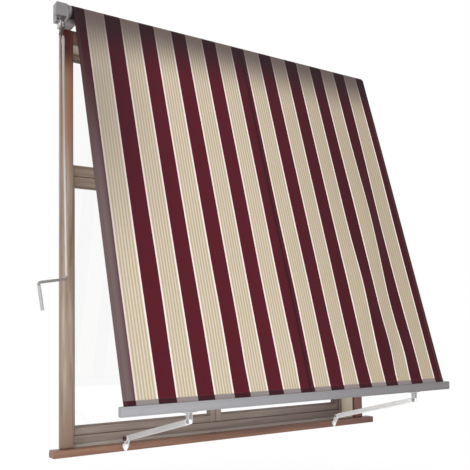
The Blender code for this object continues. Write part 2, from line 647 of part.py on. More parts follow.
def worm_with_eye():
    """The worm, its stem and the winding eye below, on an axis that leans a little with the crank."""
    axis = carrier("winding_axis", (WINDING_X, WORM_Y, EYE_Z), (0, -WINDING_LEAN, 0))
    centre = (ROLL_Z - EYE_Z) / cos(WINDING_LEAN)
    rows = 21
    count = 24
    shape = bmesh.new()
    rings = []
    ring_top = EYE_LENGTH - EYE_WIRE_RADIUS
    stem = [(ring_top, EYE_STEM_RADIUS), (centre - WORM_LENGTH / 2 - 0.001, EYE_STEM_RADIUS)]
    for height, radius in stem:
        rings.append([(radius * cos(a), radius * sin(a), height)
                      for a in (2 * pi * k / count for k in range(count))])
    for row in range(rows):
        height = centre + WORM_LENGTH * (row / (rows - 1) - 0.5)
        ring = []
        for k in range(count):
            angle = 2 * pi * k / count
            wave = 0.5 + 0.5 * cos(WHEEL_TEETH * height / WHEEL_RADIUS - WORM_STARTS * angle)
            radius = WORM_RADIUS - WORM_THREAD * (1 - wave)
            ring.append((radius * cos(angle), radius * sin(angle), height))
        rings.append(ring)
    verts = [[shape.verts.new(p) for p in ring] for ring in rings]
    for low, high in zip(verts, verts[1:]):
        for i in range(count):
            shape.faces.new((low[i - 1], low[i], high[i], high[i - 1]))
    shape.faces.new(verts[0])
    shape.faces.new(verts[-1])
    worm = piece("winding_eye", shape, "dark_steel", on=axis, smooth=True)
    half = EYE_WIDTH / 2
    top = EYE_LENGTH - half
    arc = [pi * k / 8 for k in range(9)]
    loop = [(half * cos(a), 0, top + half * sin(a)) for a in arc]
    loop += [(-half * cos(a), 0, half - half * sin(a)) for a in arc]
    eye = piece("eye", swept(loop, EYE_WIRE_RADIUS, 10, closed=True), "dark_steel", on=axis)
    boolean(worm, "UNION", eye)
    worm.data.shade_smooth()
    worm.data.set_sharp_from_angle(angle=radians(35))
    return axis


def crank(axis):
    """Wire hook in the eye, long rod, bent lower arm and turning grip, about the eye's lower wire."""
    swing = carrier("crank_axis", (0, 0, 0), parent=axis)
    reach = EYE_WIRE_RADIUS + HOOK_WIRE_RADIUS + GAP
    over = [(0, reach * cos(a), reach * sin(a)) for a in (pi * k / 6 for k in range(7))]
    ferrule = ROD_BORE - GAP
    rod_top = -ROD_TOP_DROP
    path = [(0, 0, rod_top - 0.030), (0, 0, rod_top + 0.002), (0, 0, rod_top + 0.004), (0, 0, rod_top + 0.012),
            (0, reach * 0.7, rod_top + 0.030), (0, reach, -0.014), *over,
            (-0.001, -reach, -0.010), (-HOOK_TIP_SIDE * 0.45, -reach * 1.1, -HOOK_TIP_DROP * 0.5),
            (-HOOK_TIP_SIDE * 0.9, -reach, -HOOK_TIP_DROP * 0.75), (-HOOK_TIP_SIDE, -reach, -HOOK_TIP_DROP)]
    radii = [ferrule, ferrule] + [HOOK_WIRE_RADIUS] * (len(path) - 2)
    piece("crank_hook", swept(path, radii, 10), "dark_steel", on=swing, smooth=True)

    low = rod_top - ROD_LENGTH
    tube = [(rod_top, ROD_RADIUS), (low, ROD_RADIUS), (low, ROD_BORE), (rod_top, ROD_BORE)]
    rod = turned(tube, 20, hollow=True)
    rod.transform(Matrix.Rotation(-pi / 2, 4, "Y"))
    piece("crank_rod", rod, "rod_paint", on=swing, smooth=True)

    elbow = Vector((0, 0, low - CRANK_BEND))
    out = Vector((-cos(CRANK_DIP), 0, -sin(CRANK_DIP)))
    down = Vector((sin(CRANK_DIP), 0, -cos(CRANK_DIP)))
    knee = elbow + out * CRANK_REACH
    end = knee + down * (GRIP_LENGTH + CRANK_BEND * 1.4)
    path = bent([(0, 0, low + 0.05), elbow, knee, end], CRANK_BEND)
    piece("crank_arm", swept(path, CRANK_BAR_RADIUS, 12), "rod_paint", on=swing, smooth=True)

    turn = (0, pi / 2 + atan2(down.x, -down.z) * -1, 0)
    grip_axis = carrier("grip_axis", knee, turn, parent=swing)
    start = CRANK_BEND + 0.001
    inner = CRANK_BAR_RADIUS + PIVOT_CLEARANCE
    profile = [(start, GRIP_RADIUS * 0.8), (start + 0.006, GRIP_RADIUS), (start + GRIP_LENGTH * 0.5, GRIP_RADIUS * 0.92),
               (start + GRIP_LENGTH - 0.006, GRIP_RADIUS), (start + GRIP_LENGTH, GRIP_RADIUS * 0.85),
               (start + GRIP_LENGTH, inner), (start, inner)]
    piece("crank_grip", turned(profile, 20, hollow=True), "grip_plastic", on=grip_axis, smooth=True)


def lug(stem_hole):
    """An arm end: a round lug about the pivot, a neck and a tenon that fits in the arm's tube."""
    neck = ARM_HEIGHT / 2 - ARM_WALL - GAP
    round_part = circle((0, 0), LUG_RADIUS, 24)
    kept = [p for p in round_part if p[0] > -LUG_RADIUS * 0.55]
    start = next(i for i, p in enumerate(kept) if p[1] < 0 and p[0] < -LUG_RADIUS * 0.3)
    ordered = kept[start:] + kept[:start]
    outline = ordered + [(-LUG_NECK, neck), (-LUG_NECK - LUG_TENON, neck), (-LUG_NECK - LUG_TENON, -neck),
                         (-LUG_NECK, -neck)]
    return prism("X", outline, -LUG_THICKNESS / 2, LUG_THICKNESS / 2, holes=[circle((0, 0), stem_hole, 16)])


def arm(label, x):
    """One folding arm, drawn level along -Y from its base pivot and turned up to its resting slope."""
    axis = carrier(f"{label}_arm_axis", (x, PIVOT_Y, PIVOT_Z), (-ARM_ELEVATION, 0, 0))
    hole = STEM_RADIUS + PIVOT_CLEARANCE
    piece(f"{label}_arm_foot", lug(hole), "bracket_casting", on=axis)
    tip = lug(hole)
    tip.transform(Matrix.Translation((0, -ARM_LENGTH, 0)) @ Matrix.Rotation(pi, 4, "Z"))
    piece(f"{label}_arm_tip", tip, "bracket_casting", on=axis)
    wide, tall = ARM_WIDTH / 2, ARM_HEIGHT / 2
    outer = [(-wide, -tall), (wide, -tall), (wide, tall), (-wide, tall)]
    inner = [(u * (wide - ARM_WALL) / wide, v * (tall - ARM_WALL) / tall) for u, v in outer]
    tube = prism("Y", rounded(outer, (0.003,) * 4), -LUG_NECK, -ARM_LENGTH + LUG_NECK, holes=[inner])
    piece(f"{label}_arm_tube", tube, "arm_aluminium", on=axis)


def cheeks(root):
    """Two cheeks across the X axis, each from a round eye at the pivot to a straight root edge."""
    middle = (Vector(root[0]) + Vector(root[1])) / 2
    facing = atan2(middle.y, middle.x)
    outline = [(CHEEK_RADIUS * cos(a), CHEEK_RADIUS * sin(a))
               for a in (facing + pi / 2 + pi * k / 10 for k in range(11))]
    outline += sorted(root, key=lambda end: middle.cross(Vector(end)))
    hole = circle((0, 0), STEM_RADIUS + PIVOT_CLEARANCE, 16)
    return [prism("X", outline, start, start + CHEEK_THICKNESS, holes=[hole])
            for start in (CHEEK_INNER, -CHEEK_OUTER)]


def base_bracket(label, x):
    """The bracket on the sill's nose: a plate that narrows downward and two cheeks to the pivot."""
    plate_back = SILL_FRONT - GAP
    plate_front = plate_back - BASE_PLATE_THICKNESS
    top = SILL_TOP - SILL_EDGE_RADIUS / 2
    low = top - BASE_PLATE_DROP
    corners = [(x - BASE_PLATE_TOP_WIDTH / 2, top), (x - BASE_PLATE_FOOT_WIDTH / 2, low),
               (x + BASE_PLATE_FOOT_WIDTH / 2, low), (x + BASE_PLATE_TOP_WIDTH / 2, top)]
    outline = rounded(corners, (0.004, 0.005, 0.005, 0.004))
    plate = prism("Y", outline, plate_front, plate_back)
    made = piece(f"{label}_base_bracket", plate, "bracket_casting")
    root = plate_back - BASE_PLATE_THICKNESS / 2 - PIVOT_Y
    sides = cheeks(((root, top - 0.020 - PIVOT_Z), (root, top - PIVOT_Z)))
    tools = [piece("cheek", shape, "bracket_casting", place=(x, PIVOT_Y, PIVOT_Z)) for shape in sides]
    boolean(made, "UNION", *tools)
    places = [(x + s * BASE_SCREW_SPACING / 2, plate_front + GAP, top - BASE_SCREW_DROP) for s in (-1, 1)]
    moves = [Matrix.Translation(p) @ Matrix.Rotation(pi / 2, 4, "X") for p in places]
    boolean(made, "UNION", piece("screws", copies(screw_head(), moves), "bracket_casting"))


def knob(label, x, outward):
    """A lobed clamp knob whose stem is the arm's pivot, with a nut at its inner end."""
    axis = carrier(f"{label}_knob_axis", (x, PIVOT_Y, PIVOT_Z))
    stem_end = CHEEK_OUTER + NUT_THICKNESS + GAP
    washer = CHEEK_OUTER + GAP
    profile = [(-stem_end, 0), (-stem_end, NUT_RADIUS), (-washer, NUT_RADIUS), (-washer, STEM_RADIUS),
               (washer, STEM_RADIUS), (washer, NUT_RADIUS), (washer + 0.003, NUT_RADIUS), (washer + 0.003, 0)]
    stem = turned([(outward * along, radius) for along, radius in profile], 18)
    made = piece(f"{label}_knob", stem, "knob_plastic", on=axis)
    lobes = []
    count = 10 * KNOB_LOBES
    for k in range(count):
        angle = 2 * pi * k / count
        radius = KNOB_RADIUS - KNOB_LOBE_DEPTH * (0.5 - 0.5 * cos(KNOB_LOBES * angle))
        lobes.append((radius * cos(angle), radius * sin(angle)))
    start, end = sorted((outward * (washer + 0.002), outward * (washer + 0.002 + KNOB_THICKNESS)))
    star = prism("X", lobes, start, end)
    boolean(made, "UNION", piece("star", star, "knob_plastic", on=axis))


def front_bar(left_x, right_x):
    """The extruded bar with its grooved top, end caps, hem rod, brackets, screws and tip bolts."""
    axis = carrier("front_bar_axis", (left_x, TIP_Y, TIP_Z))
    low, high = BAR_UNDERSIDE - TIP_Z, BAR_TOP - TIP_Z
    groove = GROOVE_Z - TIP_Z
    deep = BAR_DEPTH / 2
    slot = GROOVE_SLOT / 2
    opening = asin(slot / GROOVE_RADIUS)
    sweep = [pi / 2 - opening - (2 * pi - 2 * opening) * k / 12 for k in range(13)]
    chamber = [(GROOVE_RADIUS * cos(a), groove + GROOVE_RADIUS * sin(a)) for a in sweep]
    corners = rounded([(-deep, high), (-deep, low), (deep, low), (deep, high)], (0.003,) * 4)
    outline = corners + [(slot, high), *chamber, (-slot, high)]
    cavity_top = groove - GROOVE_RADIUS - BAR_WALL
    cavity = [(-deep + BAR_WALL, low + BAR_WALL), (deep - BAR_WALL, low + BAR_WALL),
              (deep - BAR_WALL, cavity_top), (-deep + BAR_WALL, cavity_top)]
    start, end = BAR_LEFT - left_x, BAR_RIGHT - left_x
    piece("front_bar", prism("X", outline, start, end, holes=[cavity]), "bar_aluminium", on=axis)
    for label, x in (("left", start - BAR_CAP - GAP), ("right", end + GAP)):
        piece(f"bar_cap_{label}", prism("X", corners, x, x + BAR_CAP), "cap_plastic", on=axis)

    rod = turned([(CLOTH_LEFT - left_x, 0), (CLOTH_LEFT - left_x, HEM_ROD_RADIUS),
                  (CLOTH_RIGHT - left_x, HEM_ROD_RADIUS), (CLOTH_RIGHT - left_x, 0)], 16)
    rod_seat = GROOVE_RADIUS - HEM_ROD_RADIUS - GAP
    piece("hem_rod", rod, "grip_plastic", on=axis, place=(0, 0, groove - rod_seat), smooth=True)

    under = low - GAP
    for label, x in (("left", 0), ("right", right_x - left_x)):
        half = BAR_PLATE_LENGTH / 2
        corners = [(x - half, -deep), (x + half, -deep), (x + half, deep), (x - half, deep)]
        plate = prism("Z", rounded(corners, (0.008,) * 4), under - BAR_PLATE_THICKNESS, under)
        made = piece(f"bar_bracket_{label}", plate, "bracket_casting", on=axis)
        root = under - BAR_PLATE_THICKNESS / 2
        sides = cheeks(((CHEEK_RADIUS, root), (-CHEEK_RADIUS, root)))
        tools = [piece("cheek", shape, "bracket_casting", on=axis, place=(x, 0, 0)) for shape in sides]
        boolean(made, "UNION", *tools)
        face = under - BAR_PLATE_THICKNESS + GAP
        moves = [Matrix.Translation((x + s * BAR_SCREW_SPACING / 2, 0, face)) @ Matrix.Rotation(pi, 4, "X")
                 for s in (-1, 1)]
        boolean(made, "UNION", piece("screws", copies(screw_head(), moves), "bracket_casting", on=axis))
        washer = CHEEK_OUTER + GAP
        profile = [(-washer - NUT_THICKNESS, 0), (-washer - NUT_THICKNESS, NUT_RADIUS),
                   (-washer, NUT_RADIUS), (-washer, STEM_RADIUS), (washer, STEM_RADIUS),
                   (washer, NUT_RADIUS), (washer + NUT_THICKNESS, NUT_RADIUS), (washer + NUT_THICKNESS, 0)]
        piece(f"tip_bolt_{label}", turned(profile, 12), "dark_steel", on=axis, place=(x, 0, 0))


def screw_head():
    """A low domed screw head that stands on the XY plane."""
    profile = [(0, 0), (0, SCREW_RADIUS), (SCREW_HEIGHT * 0.5, SCREW_RADIUS), (SCREW_HEIGHT, SCREW_RADIUS * 0.6),
               (SCREW_HEIGHT, 0)]
    head = turned(profile, 12)
    head.transform(Matrix.Rotation(-pi / 2, 4, "Y"))
    return head


def hanging_cloth():
    """The cloth from the roll's outer side down to the bar's groove, with its stripes as face colours."""
    end_y, end_z = TIP_Y - ROLL_Y, GROOVE_Z + 0.0045 - ROLL_Z
    stand_off = ROLL_RADIUS + GAP + CLOTH_THICKNESS / 2
    distance = hypot(end_y, end_z)
    slope = atan2(-end_y, -end_z) - asin(stand_off / distance)
    length = (distance ** 2 - stand_off ** 2) ** 0.5
    axis = carrier("cloth_axis", (CLOTH_LEFT, ROLL_Y, ROLL_Z), (-slope, 0, 0))
    lines = [0.0]
    start = FIRST_STRIPE
    while start + CREAM_STRIPE < CLOTH_WIDTH:
        lines += [start, start + CREAM_STRIPE]
        start += STRIPE_PERIOD
    lines.append(CLOTH_WIDTH)
    front = -stand_off - CLOTH_THICKNESS / 2
    back = -stand_off + CLOTH_THICKNESS / 2
    shape = bmesh.new()
    rings = [[shape.verts.new(p) for p in ((x, front, 0), (x, back, 0), (x, back, -length), (x, front, -length))]
             for x in lines]
    for k, (low, high) in enumerate(zip(rings, rings[1:])):
        for i in range(4):
            face = shape.faces.new((low[i - 1], low[i], high[i], high[i - 1]))
            face.material_index = k % 2
    shape.faces.new(rings[0])
    shape.faces.new(rings[-1])
    made = piece("cloth_panel", shape, "burgundy", on=axis)
    made.data.materials.append(material("cream"))


def build():
    """Builds the whole awning in an emptied scene."""
    for old in list(bpy.data.objects):
        bpy.data.objects.remove(old)
    timber_surround()
    window_frame()
    window_leaf(-1, "left")
    window_leaf(1, "right")
    roller_brackets()
    gear_housing()
    roller()
    crank(worm_with_eye())
    for label, x, outward in (("left", LEFT_ARM_X, -1), ("right", RIGHT_ARM_X, 1)):
        arm(label, x)
        base_bracket(label, x)
        knob(label, x, outward)
    front_bar(LEFT_ARM_X, RIGHT_ARM_X)
    hanging_cloth()


build()
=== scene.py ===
"""Striped window awning on its timber surround: skins, cloth, finishes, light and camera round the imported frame."""
import json
from math import cos, radians, sin, tau

import bmesh
import bpy
import numpy as np
from bpy.props import FloatProperty, FloatVectorProperty, PointerProperty
from mathutils import Matrix, Vector

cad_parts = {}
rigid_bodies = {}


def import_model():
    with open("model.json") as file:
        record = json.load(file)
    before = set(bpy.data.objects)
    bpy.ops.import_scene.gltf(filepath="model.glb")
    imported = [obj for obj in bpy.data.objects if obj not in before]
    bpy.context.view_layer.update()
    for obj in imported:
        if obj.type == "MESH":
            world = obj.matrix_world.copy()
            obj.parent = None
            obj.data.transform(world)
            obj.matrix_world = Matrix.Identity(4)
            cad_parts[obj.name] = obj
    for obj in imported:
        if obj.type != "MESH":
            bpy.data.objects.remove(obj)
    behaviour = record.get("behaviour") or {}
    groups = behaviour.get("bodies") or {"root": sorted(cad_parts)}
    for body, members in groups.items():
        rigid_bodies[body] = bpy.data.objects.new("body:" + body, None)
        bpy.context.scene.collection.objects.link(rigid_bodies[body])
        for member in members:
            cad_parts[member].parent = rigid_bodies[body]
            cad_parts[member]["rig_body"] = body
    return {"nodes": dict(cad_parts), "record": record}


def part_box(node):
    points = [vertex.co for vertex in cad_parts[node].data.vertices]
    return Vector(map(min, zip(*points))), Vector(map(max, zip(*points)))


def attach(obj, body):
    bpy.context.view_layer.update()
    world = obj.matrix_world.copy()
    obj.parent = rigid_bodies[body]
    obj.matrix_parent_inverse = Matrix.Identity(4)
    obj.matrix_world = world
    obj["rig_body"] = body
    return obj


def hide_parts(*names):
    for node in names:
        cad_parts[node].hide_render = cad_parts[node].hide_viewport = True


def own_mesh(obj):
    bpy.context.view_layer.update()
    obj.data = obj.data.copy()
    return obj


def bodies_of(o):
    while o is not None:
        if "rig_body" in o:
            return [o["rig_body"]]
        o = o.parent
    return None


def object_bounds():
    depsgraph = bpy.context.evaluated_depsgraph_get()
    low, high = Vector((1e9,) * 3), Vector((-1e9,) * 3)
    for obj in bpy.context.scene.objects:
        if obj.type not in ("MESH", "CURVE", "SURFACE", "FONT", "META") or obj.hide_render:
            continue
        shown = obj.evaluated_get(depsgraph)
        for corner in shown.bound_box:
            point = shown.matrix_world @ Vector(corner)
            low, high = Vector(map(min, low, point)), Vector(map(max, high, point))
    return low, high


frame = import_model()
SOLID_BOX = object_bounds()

bl_info = {
    "name": "Striped window awning",
    "version": (1, 0, 0),
    "blender": (4, 5, 0),
    "location": "View3D > Sidebar > Awning",
    "description": "Dresses the packed awning with cloth, timber, castings and winding gear",
    "category": "Object",
}


# ---------------------------------------------------------------- sizes and colours

def paint(red, green, blue):
    """A colour as it looks on a screen, 0 to 255, as linear light: the power curve of the screen undone."""
    share = np.array([red, green, blue]) / 255
    linear = np.where(share <= 0.04045, share / 12.92, ((share + 0.055) / 1.055) ** 2.4)
    return tuple(float(x) for x in linear)


def length(name, value, text):
    """A size property in metres."""
    return FloatProperty(name=name, description=text, default=value, min=0.0, unit="LENGTH", precision=4)


def colour(name, red, green, blue, text):
    """A colour property, given as it looks on a screen."""
    return FloatVectorProperty(name=name, description=text, default=paint(red, green, blue), size=3,
                               min=0.0, max=1.0, subtype="COLOR")


class AwningSizes(bpy.types.PropertyGroup):
    """Sizes that a user would change."""
    first_stripe: length("First stripe", 0.0625, "Dark strip at the cloth's left edge")
    cream_stripe: length("Cream stripe", 0.1125, "Width of a pale stripe with its borders")
    stripe_period: length("Stripe period", 0.2062, "From one pale stripe's edge to the next one's")
    border: length("Border", 0.0078, "Width of the pale line on each edge of a cream stripe")
    bottom_hem: length("Bottom hem", 0.029, "Doubled cloth over the front bar")
    side_hem: length("Side hem", 0.020, "Doubled cloth at the cloth's sides")
    thread: length("Thread", 0.0012, "Spacing of the weave")
    ripple: FloatProperty(name="Ripple", description="Share of the cloth's measured ripples", default=1.0, min=0.0,
                          max=2.0, subtype="FACTOR")
    timber_edge: length("Timber edge", 0.0018, "Rounding of the boards' edges")
    metal_edge: length("Metal edge", 0.0007, "Rounding of the brackets' edges")


class AwningColours(bpy.types.PropertyGroup):
    """Colours that a user would change."""
    burgundy: colour("Burgundy", 84, 20, 33, "Dark stripes")
    cream: colour("Cream", 195, 182, 160, "Pale stripes")
    border: colour("Border", 240, 225, 217, "Lines on the pale stripes' edges")
    pinstripe: colour("Pinstripe", 174, 160, 130, "Fine lines in the pale stripes")
    timber: colour("Timber", 146, 106, 83, "Sill, head and right jamb")
    timber_red: colour("Timber, red", 108, 68, 56, "Darker grain of those boards")
    bleached: colour("Bleached timber", 208, 191, 174, "Left jamb, greyed by the sun")
    bleached_dark: colour("Bleached timber, dark", 134, 100, 82, "Darker grain of the left jamb")
    window: colour("Window timber", 200, 184, 170, "Window frame and leaves")
    window_dark: colour("Window timber, dark", 146, 128, 118, "Darker grain of the window timber")
    lining: colour("Lining", 250, 240, 218, "Painted lining of the reveal")
    bar: colour("Front bar", 158, 157, 160, "Anodised front bar")
    arm: colour("Arm", 252, 251, 249, "Coated arms and brackets")
    casting: colour("Casting", 128, 124, 126, "Gear housing")
    steel: colour("Steel", 168, 168, 170, "Plated steel")
    dark_steel: colour("Dark steel", 70, 68, 68, "Winding eye and screws")
    rod: colour("Rod", 198, 193, 187, "Painted winding rod")
    knob: colour("Knob", 72, 22, 34, "Moulded knobs")


def sizes():
    """The awning's sizes in this file."""
    return bpy.context.scene.awning_sizes


def colours():
    """The awning's colours in this file."""
    return bpy.context.scene.awning_colours


# ---------------------------------------------------------------- finishes

def joining(operation, swapped=False):
    """A method of Value that puts one maths node on it and another term, in this order or swapped."""
    def method(self, other):
        return self.math(operation, *((other, self) if swapped else (self, other)))
    return method


class Value:
    """A socket of a node tree, on which sums are written as plain expressions."""

    def __init__(self, owner, socket):
        self.owner = owner
        self.socket = socket

    def math(self, operation, *terms):
        return self.owner.node("ShaderNodeMath", {"operation": operation}, *terms)

    __add__ = __radd__ = joining("ADD")
    __mul__ = __rmul__ = joining("MULTIPLY")
    __sub__ = joining("SUBTRACT")
    __rsub__ = joining("SUBTRACT", swapped=True)
    __truediv__ = joining("DIVIDE")
    __rtruediv__ = joining("DIVIDE", swapped=True)
    __mod__ = joining("FLOORED_MODULO")
    __lt__ = joining("LESS_THAN")
    __gt__ = joining("GREATER_THAN")
    at_least = joining("MAXIMUM")

    def __abs__(self):
        return self.math("ABSOLUTE", self)

    def wave(self):
        return self.math("SINE", self)

    def root(self):
        return self.math("SQRT", self)

    def step(self, start, end):
        """0 below start and 1 above end, with a smooth rise between."""
        return self.owner.node("ShaderNodeMapRange", {"interpolation_type": "SMOOTHSTEP"}, self, start, end, 0.0, 1.0)


class Tree:
    """A node tree that is written as expressions."""

    def __init__(self, tree):
        self.tree = tree
        tree.nodes.clear()

    def feed(self, socket, value):
        """Links a value to a socket, or sets a plain number or colour on it."""
        if isinstance(value, Value):
            self.tree.links.new(value.socket, socket)
        elif hasattr(value, "__len__"):
            value = tuple(value)
            socket.default_value = value + (1.0,) if socket.type == "RGBA" and len(value) == 3 else value
        else:
            socket.default_value = value

    def node(self, kind, settings, *values, out=0, **named):
        """A node: its settings first, then what its enabled sockets take, in order or by name."""
        node = self.tree.nodes.new(kind)
        for key, value in settings.items():
            setattr(node, key, value)
        for socket, value in zip([socket for socket in node.inputs if socket.enabled], values):
            self.feed(socket, value)
        for name, value in named.items():
            self.feed(node.inputs[name], value)
        return Value(self, [socket for socket in node.outputs if socket.enabled][out])

    def looked_at(self):
        """1 where the camera, gloss or glass looks at the surface, and 0 where it lights something."""
        outputs = self.node("ShaderNodeLightPath", {}).socket.node.outputs
        camera, gloss, glass = [Value(self, outputs[f"Is {ray} Ray"]) for ray in ("Camera", "Glossy", "Transmission")]
        return camera.at_least(gloss).at_least(glass)


class Finish(Tree):
    """A material with one shader."""

    def __init__(self, name, **constants):
        self.material = bpy.data.materials.new(name)
        self.material.use_nodes = True
        super().__init__(self.material.node_tree)
        self.shader = self.tree.nodes.new("ShaderNodeBsdfPrincipled")
        self.output = self.tree.nodes.new("ShaderNodeOutputMaterial")
        self.tree.links.new(self.shader.outputs[0], self.output.inputs[0])
        for socket, value in constants.items():
            self.set(socket.replace("_", " "), value)

    def set(self, socket, value):
        self.feed(self.shader.inputs[socket], value)

    def dressed(self, shade, rough, height, distance, strength):
        """The material with its colour, its roughness and heights as a tilt of the surface."""
        self.set("Base Color", shade)
        self.set("Roughness", rough)
        self.set("Normal", self.node("ShaderNodeBump", {}, Strength=strength, Distance=distance, Height=height))
        return self.material

    def place(self, scale=(1.0, 1.0, 1.0), uv=False):
        """Object coordinates in metres, or the piece's own map, stretched by a scale."""
        source = self.node("ShaderNodeUVMap", {}) if uv else self.node("ShaderNodeTexCoord", {}, out=3)
        return self.node("ShaderNodeVectorMath", {"operation": "MULTIPLY"}, source, scale)

    def parts(self, vector):
        """The three numbers of a vector."""
        outputs = self.node("ShaderNodeSeparateXYZ", {}, vector).socket.node.outputs
        return [Value(self, output) for output in outputs]

    def noise(self, vector, scale, detail=3.0, rough=0.5):
        return self.node("ShaderNodeTexNoise", {}, Vector=vector, Scale=scale, Detail=detail, Roughness=rough)

    def mix(self, share, first, second):
        """Two colours mixed by a share."""
        return self.node("ShaderNodeMix", {"data_type": "RGBA"}, share, first, second)


def dimmed(shade, share):
    """A share of a colour's light."""
    return [channel * share for channel in shade]


def stretched(along, across, lengthwise):
    """A scale for texture that runs along one axis."""
    return [lengthwise if axis == along else across for axis in "XYZ"]


def toned(finish, body, shades_and_tones):
    """A colour that moves towards others along the object, here mostly painted shade: each tone is an axis, where it
    starts, where it is full, a screen colour and its share."""
    for axis, start, full, shade, share in shades_and_tones:
        place = finish.parts(finish.place())["XYZ".index(axis)]
        body = finish.mix(place.step(start, full) * share, body, paint(*shade))
    return body


def timber_finish(name, light, dark, along, shine=0.48, shades_and_tones=()):
    """Stained timber: long streaks, fine pores and slow changes of tone along a board's own axis, then the painted
    shade and tones it is given.
    """
    finish = Finish(name, Roughness=shine, Coat_Weight=0.12, Coat_Roughness=0.3)
    streak = finish.noise(finish.place(stretched(along, 38.0, 1.6)), 1.0, 5.0, 0.62)
    fine = finish.noise(finish.place(stretched(along, 266.0, 9.0)), 1.0, 3.0, 0.6)
    slow = finish.noise(finish.place((1.1, 3.0, 1.1)), 1.0, 2.0)
    body = finish.mix(streak.step(0.36, 0.66) * 0.62 + slow.step(0.35, 0.7) * 0.32, light, dark)
    pores = fine.step(0.6, 0.72) * 0.35
    body = finish.mix(pores, toned(finish, body, shades_and_tones), dimmed(dark, 0.55))
    return finish.dressed(body, 0.62 - streak * 0.22, streak * 0.7 - pores, 0.0006, 0.55)


def painted_finish(name, shade, grain=420.0, rough=0.5, metal=0.0, wear=0.1, shades_and_tones=(), **constants):
    """Paint, powder coat or plastic: fine orange peel, faint soiling and a slow change of gloss, then any painted shade
    it is given.
    """
    finish = Finish(name, Metallic=metal, **constants)
    peel = finish.noise(finish.place(), grain, 2.0)
    soil = finish.noise(finish.place(), 9.0, 4.0, 0.6)
    body = finish.mix(soil.step(0.48, 0.78) * wear, toned(finish, shade, shades_and_tones), dimmed(shade, 0.55))
    return finish.dressed(body, rough + soil * 0.14 - 0.07, peel, 0.0003, 0.35)


def brushed_finish(name, shade, along, rough=0.38, metal=0.75, wear=0.12, shades_and_tones=()):
    """Drawn or brushed metal: fine lines along the piece and dull patches from handling, then any painted shade it is
    given.
    """
    finish = Finish(name, Metallic=metal)
    lines = finish.noise(finish.place(stretched(along, 900.0, 5.0)), 1.0, 2.0)
    soil = finish.noise(finish.place(), 7.0, 4.0, 0.6)
    share = lines * 0.12 + soil.step(0.5, 0.8) * wear
    body = finish.mix(share, toned(finish, shade, shades_and_tones), dimmed(shade, 0.6))
    return finish.dressed(body, rough + lines * 0.16 + soil * 0.08 - 0.1, lines, 0.0002, 0.25)


